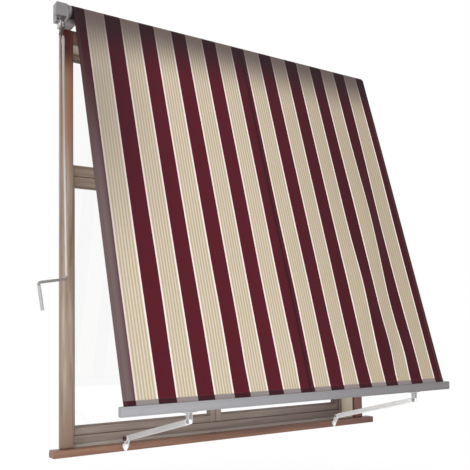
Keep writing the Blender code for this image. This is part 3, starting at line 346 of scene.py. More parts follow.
def cloth_finish(name, on_roll=False):
    """Woven acrylic cloth: broad stripes, their pale borders and fine lines, hems, a seam and the weave, with
    painted shade near the roll, towards the right and at the upper left.
    """
    s, c = sizes(), colours()
    finish = Finish(name, Sheen_Weight=0.03, Sheen_Roughness=0.5, Specular_IOR_Level=0.15)
    if on_roll:
        across = finish.parts(finish.place())[0] - CLOTH_LEFT
        down = finish.noise(finish.place((0.0, 30.0, 30.0)), 1.0) * 0.02
    else:
        across, down, _ = finish.parts(finish.place(uv=True))
    stripe = (across - s.first_stripe) % s.stripe_period
    cream = stripe < s.cream_stripe

    def striped(dark, pale):
        """A screen colour on the dark stripes and another on the pale ones."""
        return finish.mix(cream, paint(*dark), paint(*pale))

    inside = abs(stripe - s.cream_stripe / 2) < s.cream_stripe / 2 - s.border
    pitch = (s.cream_stripe - 2 * s.border) / 6
    line = abs(((stripe - s.border) / pitch) % 1.0 - 0.5)
    threads = finish.noise(finish.node("ShaderNodeCombineXYZ", {}, across * 900.0, down * 25.0, 0.0), 1.0, 2.0)
    slubs = finish.noise(finish.node("ShaderNodeCombineXYZ", {}, across * 14.0, down * 5.0, 0.0), 1.0, 4.0, 0.6)
    # painted shade: darker towards the cloth's right side, put on both the pale fill and the wine
    painted_shade_right = across.step(0.8, 1.9) * 0.55
    fill = finish.mix(line.step(0.34, 0.46) * 0.6, c.cream, paint(232, 216, 200))
    fill = finish.mix((1.0 - line.step(0.10, 0.24)) * 0.9, fill, c.pinstripe)
    fill = finish.mix(painted_shade_right, fill, paint(164, 148, 124))
    wine = finish.mix(threads.step(0.3, 0.75) * 0.35, c.burgundy, dimmed(c.burgundy, 0.72))
    wine = finish.mix(painted_shade_right, wine, paint(42, 10, 16))
    cloth = finish.mix(cream, wine, finish.mix(inside, c.border, fill))
    cloth = finish.mix(slubs.step(0.35, 0.8) * 0.10, cloth, striped((60, 18, 26), (170, 158, 134)))
    # painted shade near the roll: the dark colours that the wound turns and the top of the hanging cloth are mixed
    # towards
    painted_roll_shade = striped((38, 22, 26), (92, 78, 78))
    if on_roll:
        # painted shade over all of the wound cloth
        cloth = finish.mix(0.90, cloth, painted_roll_shade)
    else:
        # painted shade at the upper left of the hanging cloth
        painted_shade_upper_left = across.step(0.55, 0.0) * down.step(1.7, 0.5)
        cloth = finish.mix(painted_shade_upper_left * 0.62, cloth, striped((42, 20, 28), (132, 121, 112)))
        # greyer towards the left edge, lower down
        greyer_left_edge = across.step(0.085, 0.03) * down.step(0.15, 1.3)
        cloth = finish.mix(greyer_left_edge * 0.8, cloth, paint(112, 100, 99))
        hem_lines = (across * (tau / 0.0081)).wave() * 0.5 + 0.5
        hem_pale = finish.mix(hem_lines * 0.6, paint(150, 141, 138), paint(104, 94, 96))
        hem = finish.mix(cream, paint(56, 22, 30), hem_pale)
        cloth = finish.mix(down > CLOTH_DROP - s.bottom_hem, cloth, hem)
        sides = (across < s.side_hem) + (across > CLOTH_WIDTH - s.side_hem)
        cloth = finish.mix(sides * 0.25, cloth, paint(84, 68, 68))
        from_seam = abs(across - SEAM)
        cloth = finish.mix((from_seam < SEAM_WIDTH / 2) * 0.70, cloth, paint(34, 10, 18))
        seam_stitch = abs(from_seam - SEAM_WIDTH / 2 + 0.003) < 0.0008
        side_stitch = abs(abs(across - CLOTH_WIDTH / 2) - CLOTH_WIDTH / 2 + s.side_hem - 0.002) < 0.0007
        hem_stitch = abs(down - CLOTH_DROP + s.bottom_hem + 0.002) < 0.0007
        dash, dash_across = [(place / 0.005) % 1.0 < 0.62 for place in (down, across)]
        sewn = (seam_stitch.at_least(side_stitch) * dash).at_least(hem_stitch * dash_across)
        cloth = finish.mix(sewn * 0.6, cloth, paint(112, 66, 68))
        # painted shade on the hanging cloth near the roll, fading out 0.34 m down
        cloth = finish.mix(down.step(0.34, 0.0) * 0.93, cloth, painted_roll_shade)
    weave = (across * (tau / s.thread)).wave() * (down * (tau / s.thread)).wave()
    return finish.dressed(cloth, 0.78 + threads * 0.12, weave * 0.5 + threads * 0.5, 0.0003, 0.5)


def glass_finish():
    """Clear window glass with faint smears that dull its shine."""
    finish = Finish("pane_glass", Transmission_Weight=1.0, IOR=1.45, Base_Color=(1.0, 1.0, 1.0))
    smear = finish.noise(finish.place((3.0, 1.0, 1.4)), 1.0, 4.0, 0.6)
    finish.set("Roughness", smear.step(0.5, 0.8) * 0.03)
    return finish.material


def make_finishes():
    """Every finish of the awning by name."""
    c = colours()
    plastic = dict(grain=700.0, rough=0.42, wear=0.08)
    # window timber: painted shade, darker towards the right; also greyer towards the bottom
    window = dict(shine=0.42, shades_and_tones=[("X", 0.1, 0.95, (104, 80, 78), 0.85), ("Z", 0.4, 0.0, (132, 118, 114), 0.6)])
    return {
        # sill and head: painted shade, darker towards the right end
        "timber_x": timber_finish("surround_timber_long", c.timber, c.timber_red, "X",
                                  shades_and_tones=[("X", 0.6, 1.1, (98, 58, 52), 0.8)]),
        # right jamb: painted shade, mixed towards a darker red-brown on the right of the frame
        "timber_z": timber_finish("surround_timber_upright", c.timber, c.timber_red, "Z",
                                  shades_and_tones=[("X", 0.0, 0.5, (112, 66, 58), 0.85)]),
        # left jamb: painted red-tinted shade at its top under the roll and painted shade along its outer edge; also
        # redder brown higher up, darker towards the bottom and towards its inner edge
        "bleached": timber_finish("surround_timber_bleached", c.bleached, c.bleached_dark, "Z", shades_and_tones=[
            ("Z", 1.25, 1.95, (180, 126, 92), 0.85), ("Z", 2.0, 2.2, (88, 24, 34), 0.96),
            ("Z", 0.6, 0.0, (126, 100, 82), 0.85), ("X", -1.066, -1.083, (134, 118, 106), 0.6),
            ("X", -1.046, -1.010, (112, 84, 70), 0.45)]),
        "window_x": timber_finish("window_timber_long", c.window, c.window_dark, "X", **window),
        "window_z": timber_finish("window_timber_upright", c.window, c.window_dark, "Z", **window),
        "window_bead": timber_finish("window_bead_timber", dimmed(c.window, 0.8), c.window_dark, "X", **window),
        "bracket_grey": painted_finish("bar_bracket_coating", paint(196, 194, 194), 380.0, 0.42, 0.3, 0.2),
        "lining": painted_finish("lining_paint", c.lining, 160.0, 0.55, wear=0.16),
        # sill lining: a whiter copy of the lining's paint, a painted highlight, beside its real gloss coat
        "lining_sill": painted_finish("lining_sill_gloss", paint(250, 246, 240), 90.0, 0.2, wear=0.06,
                                      Coat_Weight=1.0, Coat_Roughness=0.12),
        "glass": glass_finish(),
        "cloth": cloth_finish("awning_cloth_hanging"),
        "wound": cloth_finish("awning_cloth_wound", on_roll=True),
        # front bar: painted shade, darkening from its left end to its right
        "bar": brushed_finish("bar_anodised", c.bar, "X", 0.46, 0.3, shades_and_tones=[("X", -1.0, 1.05, (122, 117, 119), 0.95)]),
        "cap": painted_finish("bar_cap_moulded", dimmed(c.bar, 0.92), **plastic),
        # arms: painted shade, the left arm greyer than the right
        "arm": painted_finish("arm_coating", c.arm, 520.0, 0.36, 0.05, 0.07, [("X", 0.2, -0.5, (206, 203, 201), 0.9)]),
        "roller_bracket": painted_finish("roller_bracket_coating", paint(196, 188, 190), 380.0, 0.44, 0.2, 0.2),
        "bracket": painted_finish("bracket_coating", c.arm, 380.0, 0.4, 0.1, 0.12),
        "casting": painted_finish("gear_casting_grain", c.casting, 300.0, 0.46, 0.35, 0.18),
        "steel": brushed_finish("plated_steel_drawn", c.steel, "X", 0.32, 0.9),
        "dark": brushed_finish("dark_steel_drawn", c.dark_steel, "Z", 0.4, 0.85),
        # winding rod: painted shadow on its upper part, above 1.2 m
        "rod": painted_finish("rod_paint", c.rod, 600.0, 0.35, 0.15, 0.08, [("Z", 1.2, 1.8, (150, 144, 141), 0.85)]),
        "crank": painted_finish("crank_paint", paint(140, 138, 135), 600.0, 0.38, 0.2, 0.1),
        "grip": painted_finish("grip_moulded", paint(182, 181, 179), **plastic),
        "knob": painted_finish("knob_moulded", c.knob, 650.0, 0.34, wear=0.1),
        "brass": brushed_finish("gear_brass_cut", paint(176, 140, 78), "X", 0.34, 0.9),
    }


FINISHES = {}
SLOTS = {part["node"]: part["material_slot"] for part in frame["record"]["subparts"]}

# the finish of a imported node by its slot
SLOT_FINISH = {
    "surround_timber": "timber_x", "lining_timber": "lining", "window_timber": "window_x", "pane_glass": "glass",
    "awning_cloth": "wound", "bar_aluminium": "bar", "arm_aluminium": "arm", "cast_bracket": "bracket",
    "gear_casting": "casting", "plated_steel": "steel", "dark_steel": "dark", "painted_rod": "rod",
    "grip_plastic": "grip", "knob_plastic": "knob", "cap_plastic": "cap", "gear_brass": "brass",
}


# ---------------------------------------------------------------- measures, in metres

CLOTH_WIDTH = 2.100
CLOTH_LEFT = -1.064
CLOTH_DROP = 2.1429  # down the slope, from the roll to the bar's groove
CLOTH_SLOPE = radians(16.6233)  # off upright
SHEET = 0.0008
SEAM = 1.066  # from the cloth's left edge
SEAM_WIDTH = 0.022
ROLL_AXIS = np.array([0.0, -0.132, 2.346])
ROLL_RADIUS = 0.035
STAND_OFF = ROLL_RADIUS + 0.0007

SIDES = (("left", -0.733, -1), ("right", 0.776, 1))  # name, x of the arm, sign of outwards
PIVOT = (-0.104, 0.061)  # y and z of the arms' lower pivots
TIP_Y = -0.77924
ARM_RUN = (0, -0.67524, 0.15589)  # from an arm's lower pivot to its tip

COLLAR_X = -1.0884
EYE = np.array([-1.1167, -0.1601, 2.2354])  # its foot, about which the rod hangs
ROD_LEAN = radians(0.84)
CRANK_ELBOW = -1.3218  # z under the eye, along the rod
CRANK_REACH = 0.148
CRANK_DIP = radians(7.5)

PHOTO_SIZE = 470

# each ripple: place across, place down, height, half width across, half length down, in metres
RIPPLES = np.array([
    (1.790, 1.05, 0.0160, 0.070, 0.36), (1.930, 1.15, -0.0140, 0.062, 0.50), (1.620, 1.52, 0.0135, 0.080, 0.24),
    (1.850, 1.62, -0.0100, 0.070, 0.26), (1.120, 1.60, 0.0070, 0.110, 0.34), (0.950, 1.50, -0.0045, 0.100, 0.30),
    (0.260, 1.55, 0.0060, 0.060, 0.30), (0.110, 1.50, -0.0050, 0.060, 0.30), (1.380, 1.75, -0.0040, 0.090, 0.25),
    (0.560, 1.75, 0.0050, 0.110, 0.25), (2.030, 0.70, 0.0050, 0.060, 0.40), (0.770, 1.00, 0.0025, 0.160, 0.45),
    (1.690, 1.90, 0.0130, 0.052, 0.16), (1.560, 1.98, -0.0110, 0.050, 0.15), (1.850, 1.95, 0.0100, 0.050, 0.16),
    (1.300, 1.99, 0.0060, 0.060, 0.14), (1.000, 2.00, 0.0050, 0.060, 0.14), (0.700, 2.00, -0.0040, 0.060, 0.14),
])


def mm(*numbers):
    """Numbers or points given in millimetres, as metres."""
    return np.array(numbers) / 1000


def box_of(node):
    """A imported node's lowest and highest corner, its middle and half its size."""
    low, high = map(np.array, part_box(node))
    return low, high, (low + high) / 2, (high - low) / 2


def cleaned(mesh, distance, flatten=False):
    """A mesh with its doubles merged, its flat faces joined if asked, and its faces turned outwards."""
    shape = bmesh.new()
    shape.from_mesh(mesh)
    bmesh.ops.remove_doubles(shape, verts=shape.verts, dist=distance)
    if flatten:
        bmesh.ops.dissolve_limit(shape, angle_limit=radians(1.2), verts=shape.verts, edges=shape.edges)
    bmesh.ops.recalc_face_normals(shape, faces=shape.faces)
    shape.to_mesh(mesh)
    shape.free()
    return mesh


def quads(rows, columns, close_columns=False, close_rows=False):
    """Corner numbers of the faces between neighbours on a grid of rows by columns."""
    down = np.arange(rows if close_rows else rows - 1)[:, None]
    over = np.arange(columns if close_columns else columns - 1)[None, :]
    below, beside = (down + 1) % rows, (over + 1) % columns
    corners = (down * columns + over, down * columns + beside, below * columns + beside, below * columns + over)
    return np.stack(np.broadcast_arrays(*corners), axis=-1).reshape(-1, 4)


def mesh_from(name, points, faces, closed=True, uv=None):
    """A mesh from arrays of points and faces. Doubles at poles are merged and a closed shape faces outwards."""
    mesh = bpy.data.meshes.new(name)
    mesh.from_pydata(np.asarray(points, float).reshape(-1, 3).tolist(), [], [list(map(int, f)) for f in faces])
    if uv is not None:
        layer = mesh.uv_layers.new(name="UVMap")
        corner = np.empty(len(mesh.loops), int)
        mesh.loops.foreach_get("vertex_index", corner)
        layer.uv.foreach_set("vector", np.asarray(uv, np.float32).reshape(-1, 2)[corner].ravel())
    return cleaned(mesh, 1e-6) if closed else mesh


def add_piece(name, mesh, finish, body, nodes=(), edge=0.0, turn=32.0):
    """Puts a mesh into the scene as a piece: its finish, its body, the nodes it stands for, its edges."""
    piece = bpy.data.objects.new(name, mesh)
    bpy.context.scene.collection.objects.link(piece)
    mesh.materials.clear()
    mesh.materials.append(FINISHES[finish])
    mesh.shade_smooth()
    mesh.set_sharp_from_angle(angle=radians(turn))
    if edge > 0:
        ease = piece.modifiers.new("edges", "BEVEL")
        ease.width = edge
        ease.segments = 2
        ease.limit_method = "ANGLE"
        ease.angle_limit = radians(turn)
        ease.harden_normals = True
        ease.use_clamp_overlap = True
    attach(piece, body)
    if nodes:
        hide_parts(*nodes)
    return piece


def shaped(name, shape, finish, body, nodes=(), turn=32.0):
    """Points and faces, put into the scene as a piece."""
    return add_piece(name, mesh_from(name, *shape), finish, body, nodes, turn=turn)


def thickened(piece, thickness):
    """Gives a sheet its thickness, half of it to each side."""
    wall = piece.modifiers.new("thickness", "SOLIDIFY")
    wall.thickness = thickness
    wall.offset = 0.0


def joined(*shapes):
    """Several (points, faces) pairs as one."""
    points, faces, start = [], [], 0
    for more, corners in shapes:
        more = np.asarray(more, float).reshape(-1, 3)
        points.append(more)
        faces += [[int(i) + start for i in f] for f in corners]
        start += len(more)
    return np.vstack(points), faces


def ring(radius, count):
    """Points of a circle: radius times (cos a, sin a)."""
    angle = np.arange(count) * tau / count
    return np.stack([radius * np.cos(angle), radius * np.sin(angle)], axis=1)


def carried(path, profile, reference=(0.0, 1.0, 0.0), scale=None):
    """A closed profile carried along a path: at each point, point + a * side + b * up, side being square to the
    path and to the reference direction, and up square to both. A scale of 0 at an end closes it to a point."""
    path = np.asarray(path, float)
    ahead = np.roll(path, -1, 0) - np.roll(path, 1, 0)
    ahead[0], ahead[-1] = path[1] - path[0], path[-1] - path[-2]
    flat = np.linalg.norm(ahead, axis=1) < 1e-12
    ahead[flat] = ahead[~flat][0]
    ahead /= np.linalg.norm(ahead, axis=1)[:, None]
    side = np.cross(ahead, np.asarray(reference, float))
    side /= np.linalg.norm(side, axis=1)[:, None]
    up = np.cross(side, ahead)
    scale = np.ones(len(path)) if scale is None else np.asarray(scale, float)
    a, b = profile[:, 0][None, :, None], profile[:, 1][None, :, None]
    points = path[:, None, :] + scale[:, None, None] * (a * side[:, None, :] + b * up[:, None, :])
    return points, quads(len(path), len(profile), True)


def capped(grid, faces):
    """Closes both ends of a carried profile with one face each."""
    rows, columns = grid.shape[:2]
    ends = [list(range(columns))[::-1], list(range((rows - 1) * columns, rows * columns))]
    return grid, [list(f) for f in faces] + ends


def turned(profile, origin, axis, count=32, lobes=0, depth=0.0):
    """A profile of (distance, radius) turned about an axis: origin + distance * axis + radius * (cos a, sin a), the
    radius of its outer part being less by depth * (1 - cos(lobes * a)) / 2."""
    profile = np.asarray(profile, float)
    axis = np.asarray(axis, float) / np.linalg.norm(axis)
    helper = np.array([0.0, 0.0, 1.0]) if abs(axis[2]) < 0.9 else np.array([1.0, 0.0, 0.0])
    side = np.cross(axis, helper)
    side /= np.linalg.norm(side)
    up = np.cross(axis, side)
    angle = np.arange(count) * tau / count
    dip = depth * (1 - np.cos(lobes * angle))[None, :] / 2 * (profile[:, 1] > 2.2 * depth)[:, None]
    reach = profile[:, 1][:, None] - dip
    points = (np.asarray(origin, float) + profile[:, 0][:, None, None] * axis
              + reach[..., None] * (np.cos(angle)[None, :, None] * side + np.sin(angle)[None, :, None] * up))
    return points, quads(len(profile), count, True)


def arc(centre, radius, start, end, steps):
    """Points of an arc in a plane: centre + radius * (cos a, sin a), a from start to end in degrees."""
    angle = np.radians(np.linspace(start, end, steps))
    return np.stack([centre[0] + radius * np.cos(angle), centre[1] + radius * np.sin(angle)], axis=1)


def rounded(half_a, half_b, radius, steps=6):
    """A rectangle with round corners: four quarter circles, each about its own corner's centre."""
    corners = ((1, 1, 0), (-1, 1, 90), (-1, -1, 180), (1, -1, 270))
    return np.vstack([arc((a * (half_a - radius), b * (half_b - radius)), radius, start, start + 90, steps)
                      for a, b, start in corners])


def unit(vector):
    """A vector's direction."""
    return np.asarray(vector, float) / np.linalg.norm(vector)


def bent(corners, radius, steps=10):
    """Straight runs through the corners, each inner corner an arc that touches both runs: centre + radius *
    (-cos t * middle + sin t * side), t running over twice the angle between a run and the square to the middle."""
    corners = np.asarray(corners, float)
    points = [corners[:1]]
    for before, here, after in zip(corners, corners[1:], corners[2:]):
        back, ahead = unit(before - here), unit(after - here)
        middle = unit(back + ahead)
        half = np.arccos(np.clip(back @ middle, -1, 1))
        side = unit(back - (back @ middle) * middle)
        t = np.linspace(tau / 4 - half, half - tau / 4, steps)[:, None]
        points.append(here + middle * radius / np.sin(half) + radius * (np.sin(t) * side - np.cos(t) * middle))
    return np.vstack([*points, corners[-1:]])


def flowing(points, per=7):
    """A smooth curve through points: on each run the cubic whose slopes are half the step between its neighbours."""
    points = np.asarray(points, float)
    full = np.vstack([points[:1], points, points[-1:]])
    t = np.linspace(0, 1, per, endpoint=False)[:, None]
    runs = [0.5 * (2 * b + (c - a) * t + (2 * a - 5 * b + 4 * c - d) * t ** 2 + (3 * b - a - 3 * c + d) * t ** 3)
            for a, b, c, d in zip(full, full[1:], full[2:], full[3:])]
    return np.vstack([*runs, points[-1:]])


def screw(place, outward, radius=0.0044, rise=0.0030):
    """A pan head on a polar grid: rise * sqrt(1 - (r / R)^4), less a cross, which is the greater of two bars with
    steep walls. A last ring just under the plate closes its foot."""
    count = 48
    share, angle = np.meshgrid(np.linspace(0, 1, 20), np.arange(count) * tau / count, indexing="ij")
    x, y = share * np.cos(angle), share * np.sin(angle)

    def bar(a, b):
        return np.clip((0.19 - np.abs(a)) / 0.08, 0, 1) * np.clip((0.62 - np.abs(b)) / 0.12, 0, 1)

    height = rise * np.sqrt(np.clip(1 - share ** 4, 0, 1)) - 0.55 * rise * np.maximum(bar(x, y), bar(y, x))
    outward = unit(outward)
    side = unit(np.cross(outward, (0.31, 0.2, 0.93)))
    up = np.cross(outward, side)
    points = np.asarray(place) + radius * (x[..., None] * side + y[..., None] * up) + height[..., None] * outward
    points = np.concatenate([points, points[-1:] - 0.0004 * outward])
    return points, quads(len(points), count, True)


def framed(low, high, profile):
    """A profile of (inset, y) carried round a rectangle in the plane of x and z, with mitred corners."""
    inset, y = np.asarray(profile, float).T
    x = np.stack([low[0] + inset, high[0] - inset, high[0] - inset, low[0] + inset], axis=1)
    z = np.stack([low[2] + inset, low[2] + inset, high[2] - inset, high[2] - inset], axis=1)
    return np.stack([x, np.repeat(y[:, None], 4, axis=1), z], axis=-1), quads(len(inset), 4, True, True)


def spanned(node, direction):
    """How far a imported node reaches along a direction."""
    reach = np.array([v.co for v in frame["nodes"][node].data.vertices]) @ unit(direction)
    return reach.min(), reach.max()


def body_of(node):
    """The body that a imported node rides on."""
    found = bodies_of(frame["nodes"][node])
    return found if isinstance(found, str) else found[0]


def eased(node, finish, width, turn=32.0):
    """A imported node's own faces as a new piece: merged, its flat faces joined and every sharp edge rounded over."""
    mesh = cleaned(frame["nodes"][node].data.copy(), 2e-6, flatten=True)
    return add_piece(f"{node}_skin", mesh, finish, body_of(node), (node,), width, turn)


# ---------------------------------------------------------------- operators

class AwningOperator:
    """What the operators share."""
    bl_options = {"REGISTER"}


class AWNING_OT_stage(AwningOperator, bpy.types.Operator):
    """Camera at the photograph's view, pale floor and soft studio light"""
    bl_idname = "awning.stage"
    bl_label = "Stage, light and camera"

    def execute(self, context):
        self.scene = context.scene
        self.camera()
        self.sky()
        self.floor()
        self.lamp("key_lamp", (-4.6, -5.4, 3.6), 3.6, 120.0)
        self.lamp("fill_lamp", (-1.2, -5.4, -0.35), 2.6, 92.0)
        self.lamp("back_lamp", (-1.5, 5.0, 3.6), 3.5, 50.0)
        return {"FINISHED"}

    def camera(self):
        """The camera fitted to the photograph: its angles, its place, and its focal length and middle in pixels."""
        yaw, pitch, roll = 0.58403, 0.06251, -0.01522
        place, focal, centre = (-2.3481, -3.6101, 0.6336), 694.22, (233.38, 287.456)
        ahead = Vector((sin(yaw), cos(yaw), 0))
        right = Vector((cos(yaw), -sin(yaw), 0))
        up = Vector((0, 0, 1))
        ahead, up = cos(pitch) * ahead + sin(pitch) * up, -sin(pitch) * ahead + cos(pitch) * up
        right, up = cos(roll) * right + sin(roll) * up, -sin(roll) * right + cos(roll) * up
        data = bpy.data.cameras.new("photo_camera")
        data.sensor_fit = "HORIZONTAL"
        data.sensor_width = 36.0
        data.lens = focal / PHOTO_SIZE * data.sensor_width
        data.shift_x = (PHOTO_SIZE / 2 - centre[0]) / PHOTO_SIZE
        data.shift_y = (centre[1] - PHOTO_SIZE / 2) / PHOTO_SIZE
        data.clip_end = 200.0
        camera = bpy.data.objects.new("photo_camera", data)
        camera.matrix_world = Matrix.Translation(place) @ Matrix((right, up, -ahead)).transposed().to_4x4()
        self.scene.collection.objects.link(camera)
        self.scene.camera = camera
        self.scene.view_settings.view_transform = "Standard"

    def sky(self):
        """White where the camera, glass or gloss look at it, and a softer light on the object."""
        world = self.scene.world = bpy.data.worlds.new("studio")
        world.use_nodes = True
        tree = Tree(world.node_tree)
        output = tree.tree.nodes.new("ShaderNodeOutputWorld")
        soft = tree.node("ShaderNodeBackground", {}, (0.97, 0.98, 1.0), 0.80)
        white = tree.node("ShaderNodeBackground", {}, (1.0, 1.0, 1.0), 1.0)
        tree.feed(output.inputs["Surface"], tree.node("ShaderNodeMixShader", {}, tree.looked_at(), soft, white))

    def floor(self):
        """A wide floor under the sill that keeps the shadow near the object and fades to white far away."""
        reach, below = 60.0, 0.95
        height = SOLID_BOX[0][2] - below
        corners = [(reach * a, reach * b, height) for a, b in ((-1, -1), (1, -1), (1, 1), (-1, 1))]
        mesh = bpy.data.meshes.new("studio_floor")
        mesh.from_pydata(corners, [], [(0, 1, 2, 3)])
        floor = bpy.data.objects.new("studio_floor", mesh)
        self.scene.collection.objects.link(floor)
        finish = Finish("floor_paper", Roughness=0.9, Base_Color=(0.86, 0.86, 0.86))
        x, y, _ = finish.parts(finish.place())
        far = (x * x + y * y).root().step(1.8, 5.0)
        white = finish.node("ShaderNodeEmission", {}, (1.0, 1.0, 1.0), 1.0)
        paper = Value(finish, finish.shader.outputs[0])
        share = finish.looked_at() * (0.74 + far * 0.26)
        finish.feed(finish.output.inputs[0], finish.node("ShaderNodeMixShader", {}, share, paper, white))
        mesh.materials.append(finish.material)

    def lamp(self, name, place, size, power):
        """A square soft lamp aimed at the middle of the awning."""
        data = bpy.data.lights.new(name, "AREA")
        data.shape = "SQUARE"
        data.size = size
        data.energy = power
        lamp = bpy.data.objects.new(name, data)
        aim = Vector((0.0, -0.3, 1.2)) - Vector(place)
        lamp.location = place
        lamp.rotation_euler = aim.to_track_quat("-Z", "Y").to_euler()
        self.scene.collection.objects.link(lamp)


class AWNING_OT_finishes(AwningOperator, bpy.types.Operator):
    """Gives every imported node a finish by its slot, before the pieces that stand for some of them"""
    bl_idname = "awning.finishes"
    bl_label = "Finishes"

    def execute(self, context):
        FINISHES.update(make_finishes())
        for name, node in frame["nodes"].items():
            finish = FINISHES[SLOT_FINISH[SLOTS[name]]]
            if not node.material_slots:
                node.data.materials.append(finish)
            for slot in node.material_slots:
                slot.material = finish
        return {"FINISHED"}


class AWNING_OT_timber(AwningOperator, bpy.types.Operator):
    """Surround boards and reveal lining with eased edges"""
    bl_idname = "awning.timber"
    bl_label = "Timber surround"

    def execute(self, context):
        edge = sizes().timber_edge
        for node in ("sill_board", "head_board"):
            eased(node, "timber_x", edge)
        eased("jamb_left", "bleached", edge)
        eased("jamb_right", "timber_z", edge)
        for node in ("lining_left", "lining_right", "lining_top"):
            eased(node, "lining", edge / 2)
        eased("lining_bottom", "lining_sill", edge / 2)
        return {"FINISHED"}


class AWNING_OT_window(AwningOperator, bpy.types.Operator):
    """Window frame, leaves, panes and hinges"""
    bl_idname = "awning.window"
    bl_label = "Window"

    def execute(self, context):
        s = sizes()
        for node in ("frame_head", "frame_bottom_rail", "transom", "left_leaf_bottom_rail", "left_leaf_top_rail",
                     "right_leaf_bottom_rail", "right_leaf_top_rail"):
            eased(node, "window_x", s.timber_edge)
        for node in ("frame_stile_left", "frame_stile_right", "left_leaf_hinge_stile", "left_leaf_meeting_stile",
                     "right_leaf_hinge_stile", "right_leaf_meeting_stile"):
            eased(node, "window_z", s.timber_edge)
        for node in ("left_frame_hinges", "right_frame_hinges", "left_leaf_hinges", "right_leaf_hinges"):
            eased(node, "steel", s.metal_edge / 2)
        for node in ("fanlight_pane", "left_leaf_pane", "right_leaf_pane"):
            eased(node, "glass", 0.0008)
            self.beads(node)
        return {"FINISHED"}

    def beads(self, node):
        """Glazing beads before and behind a pane: a quarter round of 9 mm with small flats, carried round it."""
        low, high, _, _ = box_of(node)
        curve = arc((0.0010, 0.0006), 0.0080, 0, 90, 7)
        profile = np.vstack([[(0.0002, 0.0), (0.0096, 0.0), (0.0096, 0.0006)], curve, [(0.0002, 0.0086)]])
        both = [framed(low, high, profile * (1, way) + (0, face[1] + way * 0.0002))
                for way, face in ((-1, low), (1, high))]
        shaped(f"{node}_beads", joined(*both), "window_bead", body_of(node), turn=40)


class AWNING_OT_gear(AwningOperator, bpy.types.Operator):
    """Brackets of the roller, gear housing with its cover, ribs, foot screw and collar"""
    bl_idname = "awning.gear"
    bl_label = "Gear and roller brackets"

    def execute(self, context):
        edge = sizes().metal_edge
        for node in ("gear_bracket", "idle_bracket"):
            eased(node, "roller_bracket", edge)
        for node in ("drive_plug", "idle_plug", "roller_tube"):
            eased(node, "steel", edge / 2)
        eased("worm_wheel", "brass", 0.0)
        eased("gear_housing", "casting", 0.0012)
        low, high, middle, _ = box_of("gear_housing")
        self.ribs(low, high)
        self.cover(np.array([low[0], middle[1] - 0.002, middle[2] + 0.012]))
        foot, front = low + (0.0112, 0.0198, 0.0135), (0, -1, 0)
        seat = turned(mm((0, 8.4), (1.2, 8.4), (1.6, 8), (1.6, 7), (0.4, 6.6), (0, 6.6), (0, 8.4)), foot, front)
        shaped("foot_screw_seat", seat, "casting", "root")
        shaped("foot_screw", screw(foot, front, 0.0066, 0.0012), "dark", "root")
        profile = mm((0, 26.2), (0, 34), (4.5, 34), (5, 32.8), (6.2, 32.8), (6.7, 33.8), (10.8, 33.6), (11.3, 32.4),
                     (12.5, 32.4), (13, 33.2), (18.8, 32.6), (21.2, 30.8), (21.2, 26.2), (0, 26.2))
        collar = turned(profile, (COLLAR_X, *ROLL_AXIS[1:]), (1, 0, 0), 72)
        shaped("drive_collar", collar, "casting", "root")
        return {"FINISHED"}

    def ribs(self, low, high):
        """Three upright ribs on the housing's front: a small round carried up, thinner towards both ends."""
        z = np.linspace(low[2] + 0.034, high[2] - 0.020, 15)
        thin = np.sqrt(np.clip(1 - np.linspace(-1, 1, len(z)) ** 6, 0, 1))
        shapes = []
        for share in (0.26, 0.50, 0.74):
            path = np.stack([0 * z + low[0] + share * (high[0] - low[0]), 0 * z + low[1] + 0.0004, z], axis=1)
            shapes.append(carried(path, ring(0.0019, 14), scale=thin))
        shaped("housing_ribs", joined(*shapes), "casting", "root", turn=60)

    def cover(self, middle):
        """A thin plate with round corners and four screws on the housing's outer side."""
        stations = mm(0.4, 0, -0.9, -1.4, -1.6, -1.6)
        path = middle + stations[:, None] * (1, 0, 0)
        plate = carried(path, rounded(0.0285, 0.0240, 0.009), scale=(1, 1, 1, 0.985, 0.955, 0))
        shaped("housing_cover", plate, "casting", "root", turn=40)
        spots = [middle + (-0.0015, 0.0175 * a, 0.0220 * b) for a in (-1, 1) for b in (-1, 1)]
        heads = joined(*[screw(spot, (-1, 0, 0), 0.0030, 0.0016) for spot in spots])
        shaped("housing_cover_screws", heads, "steel", "root")


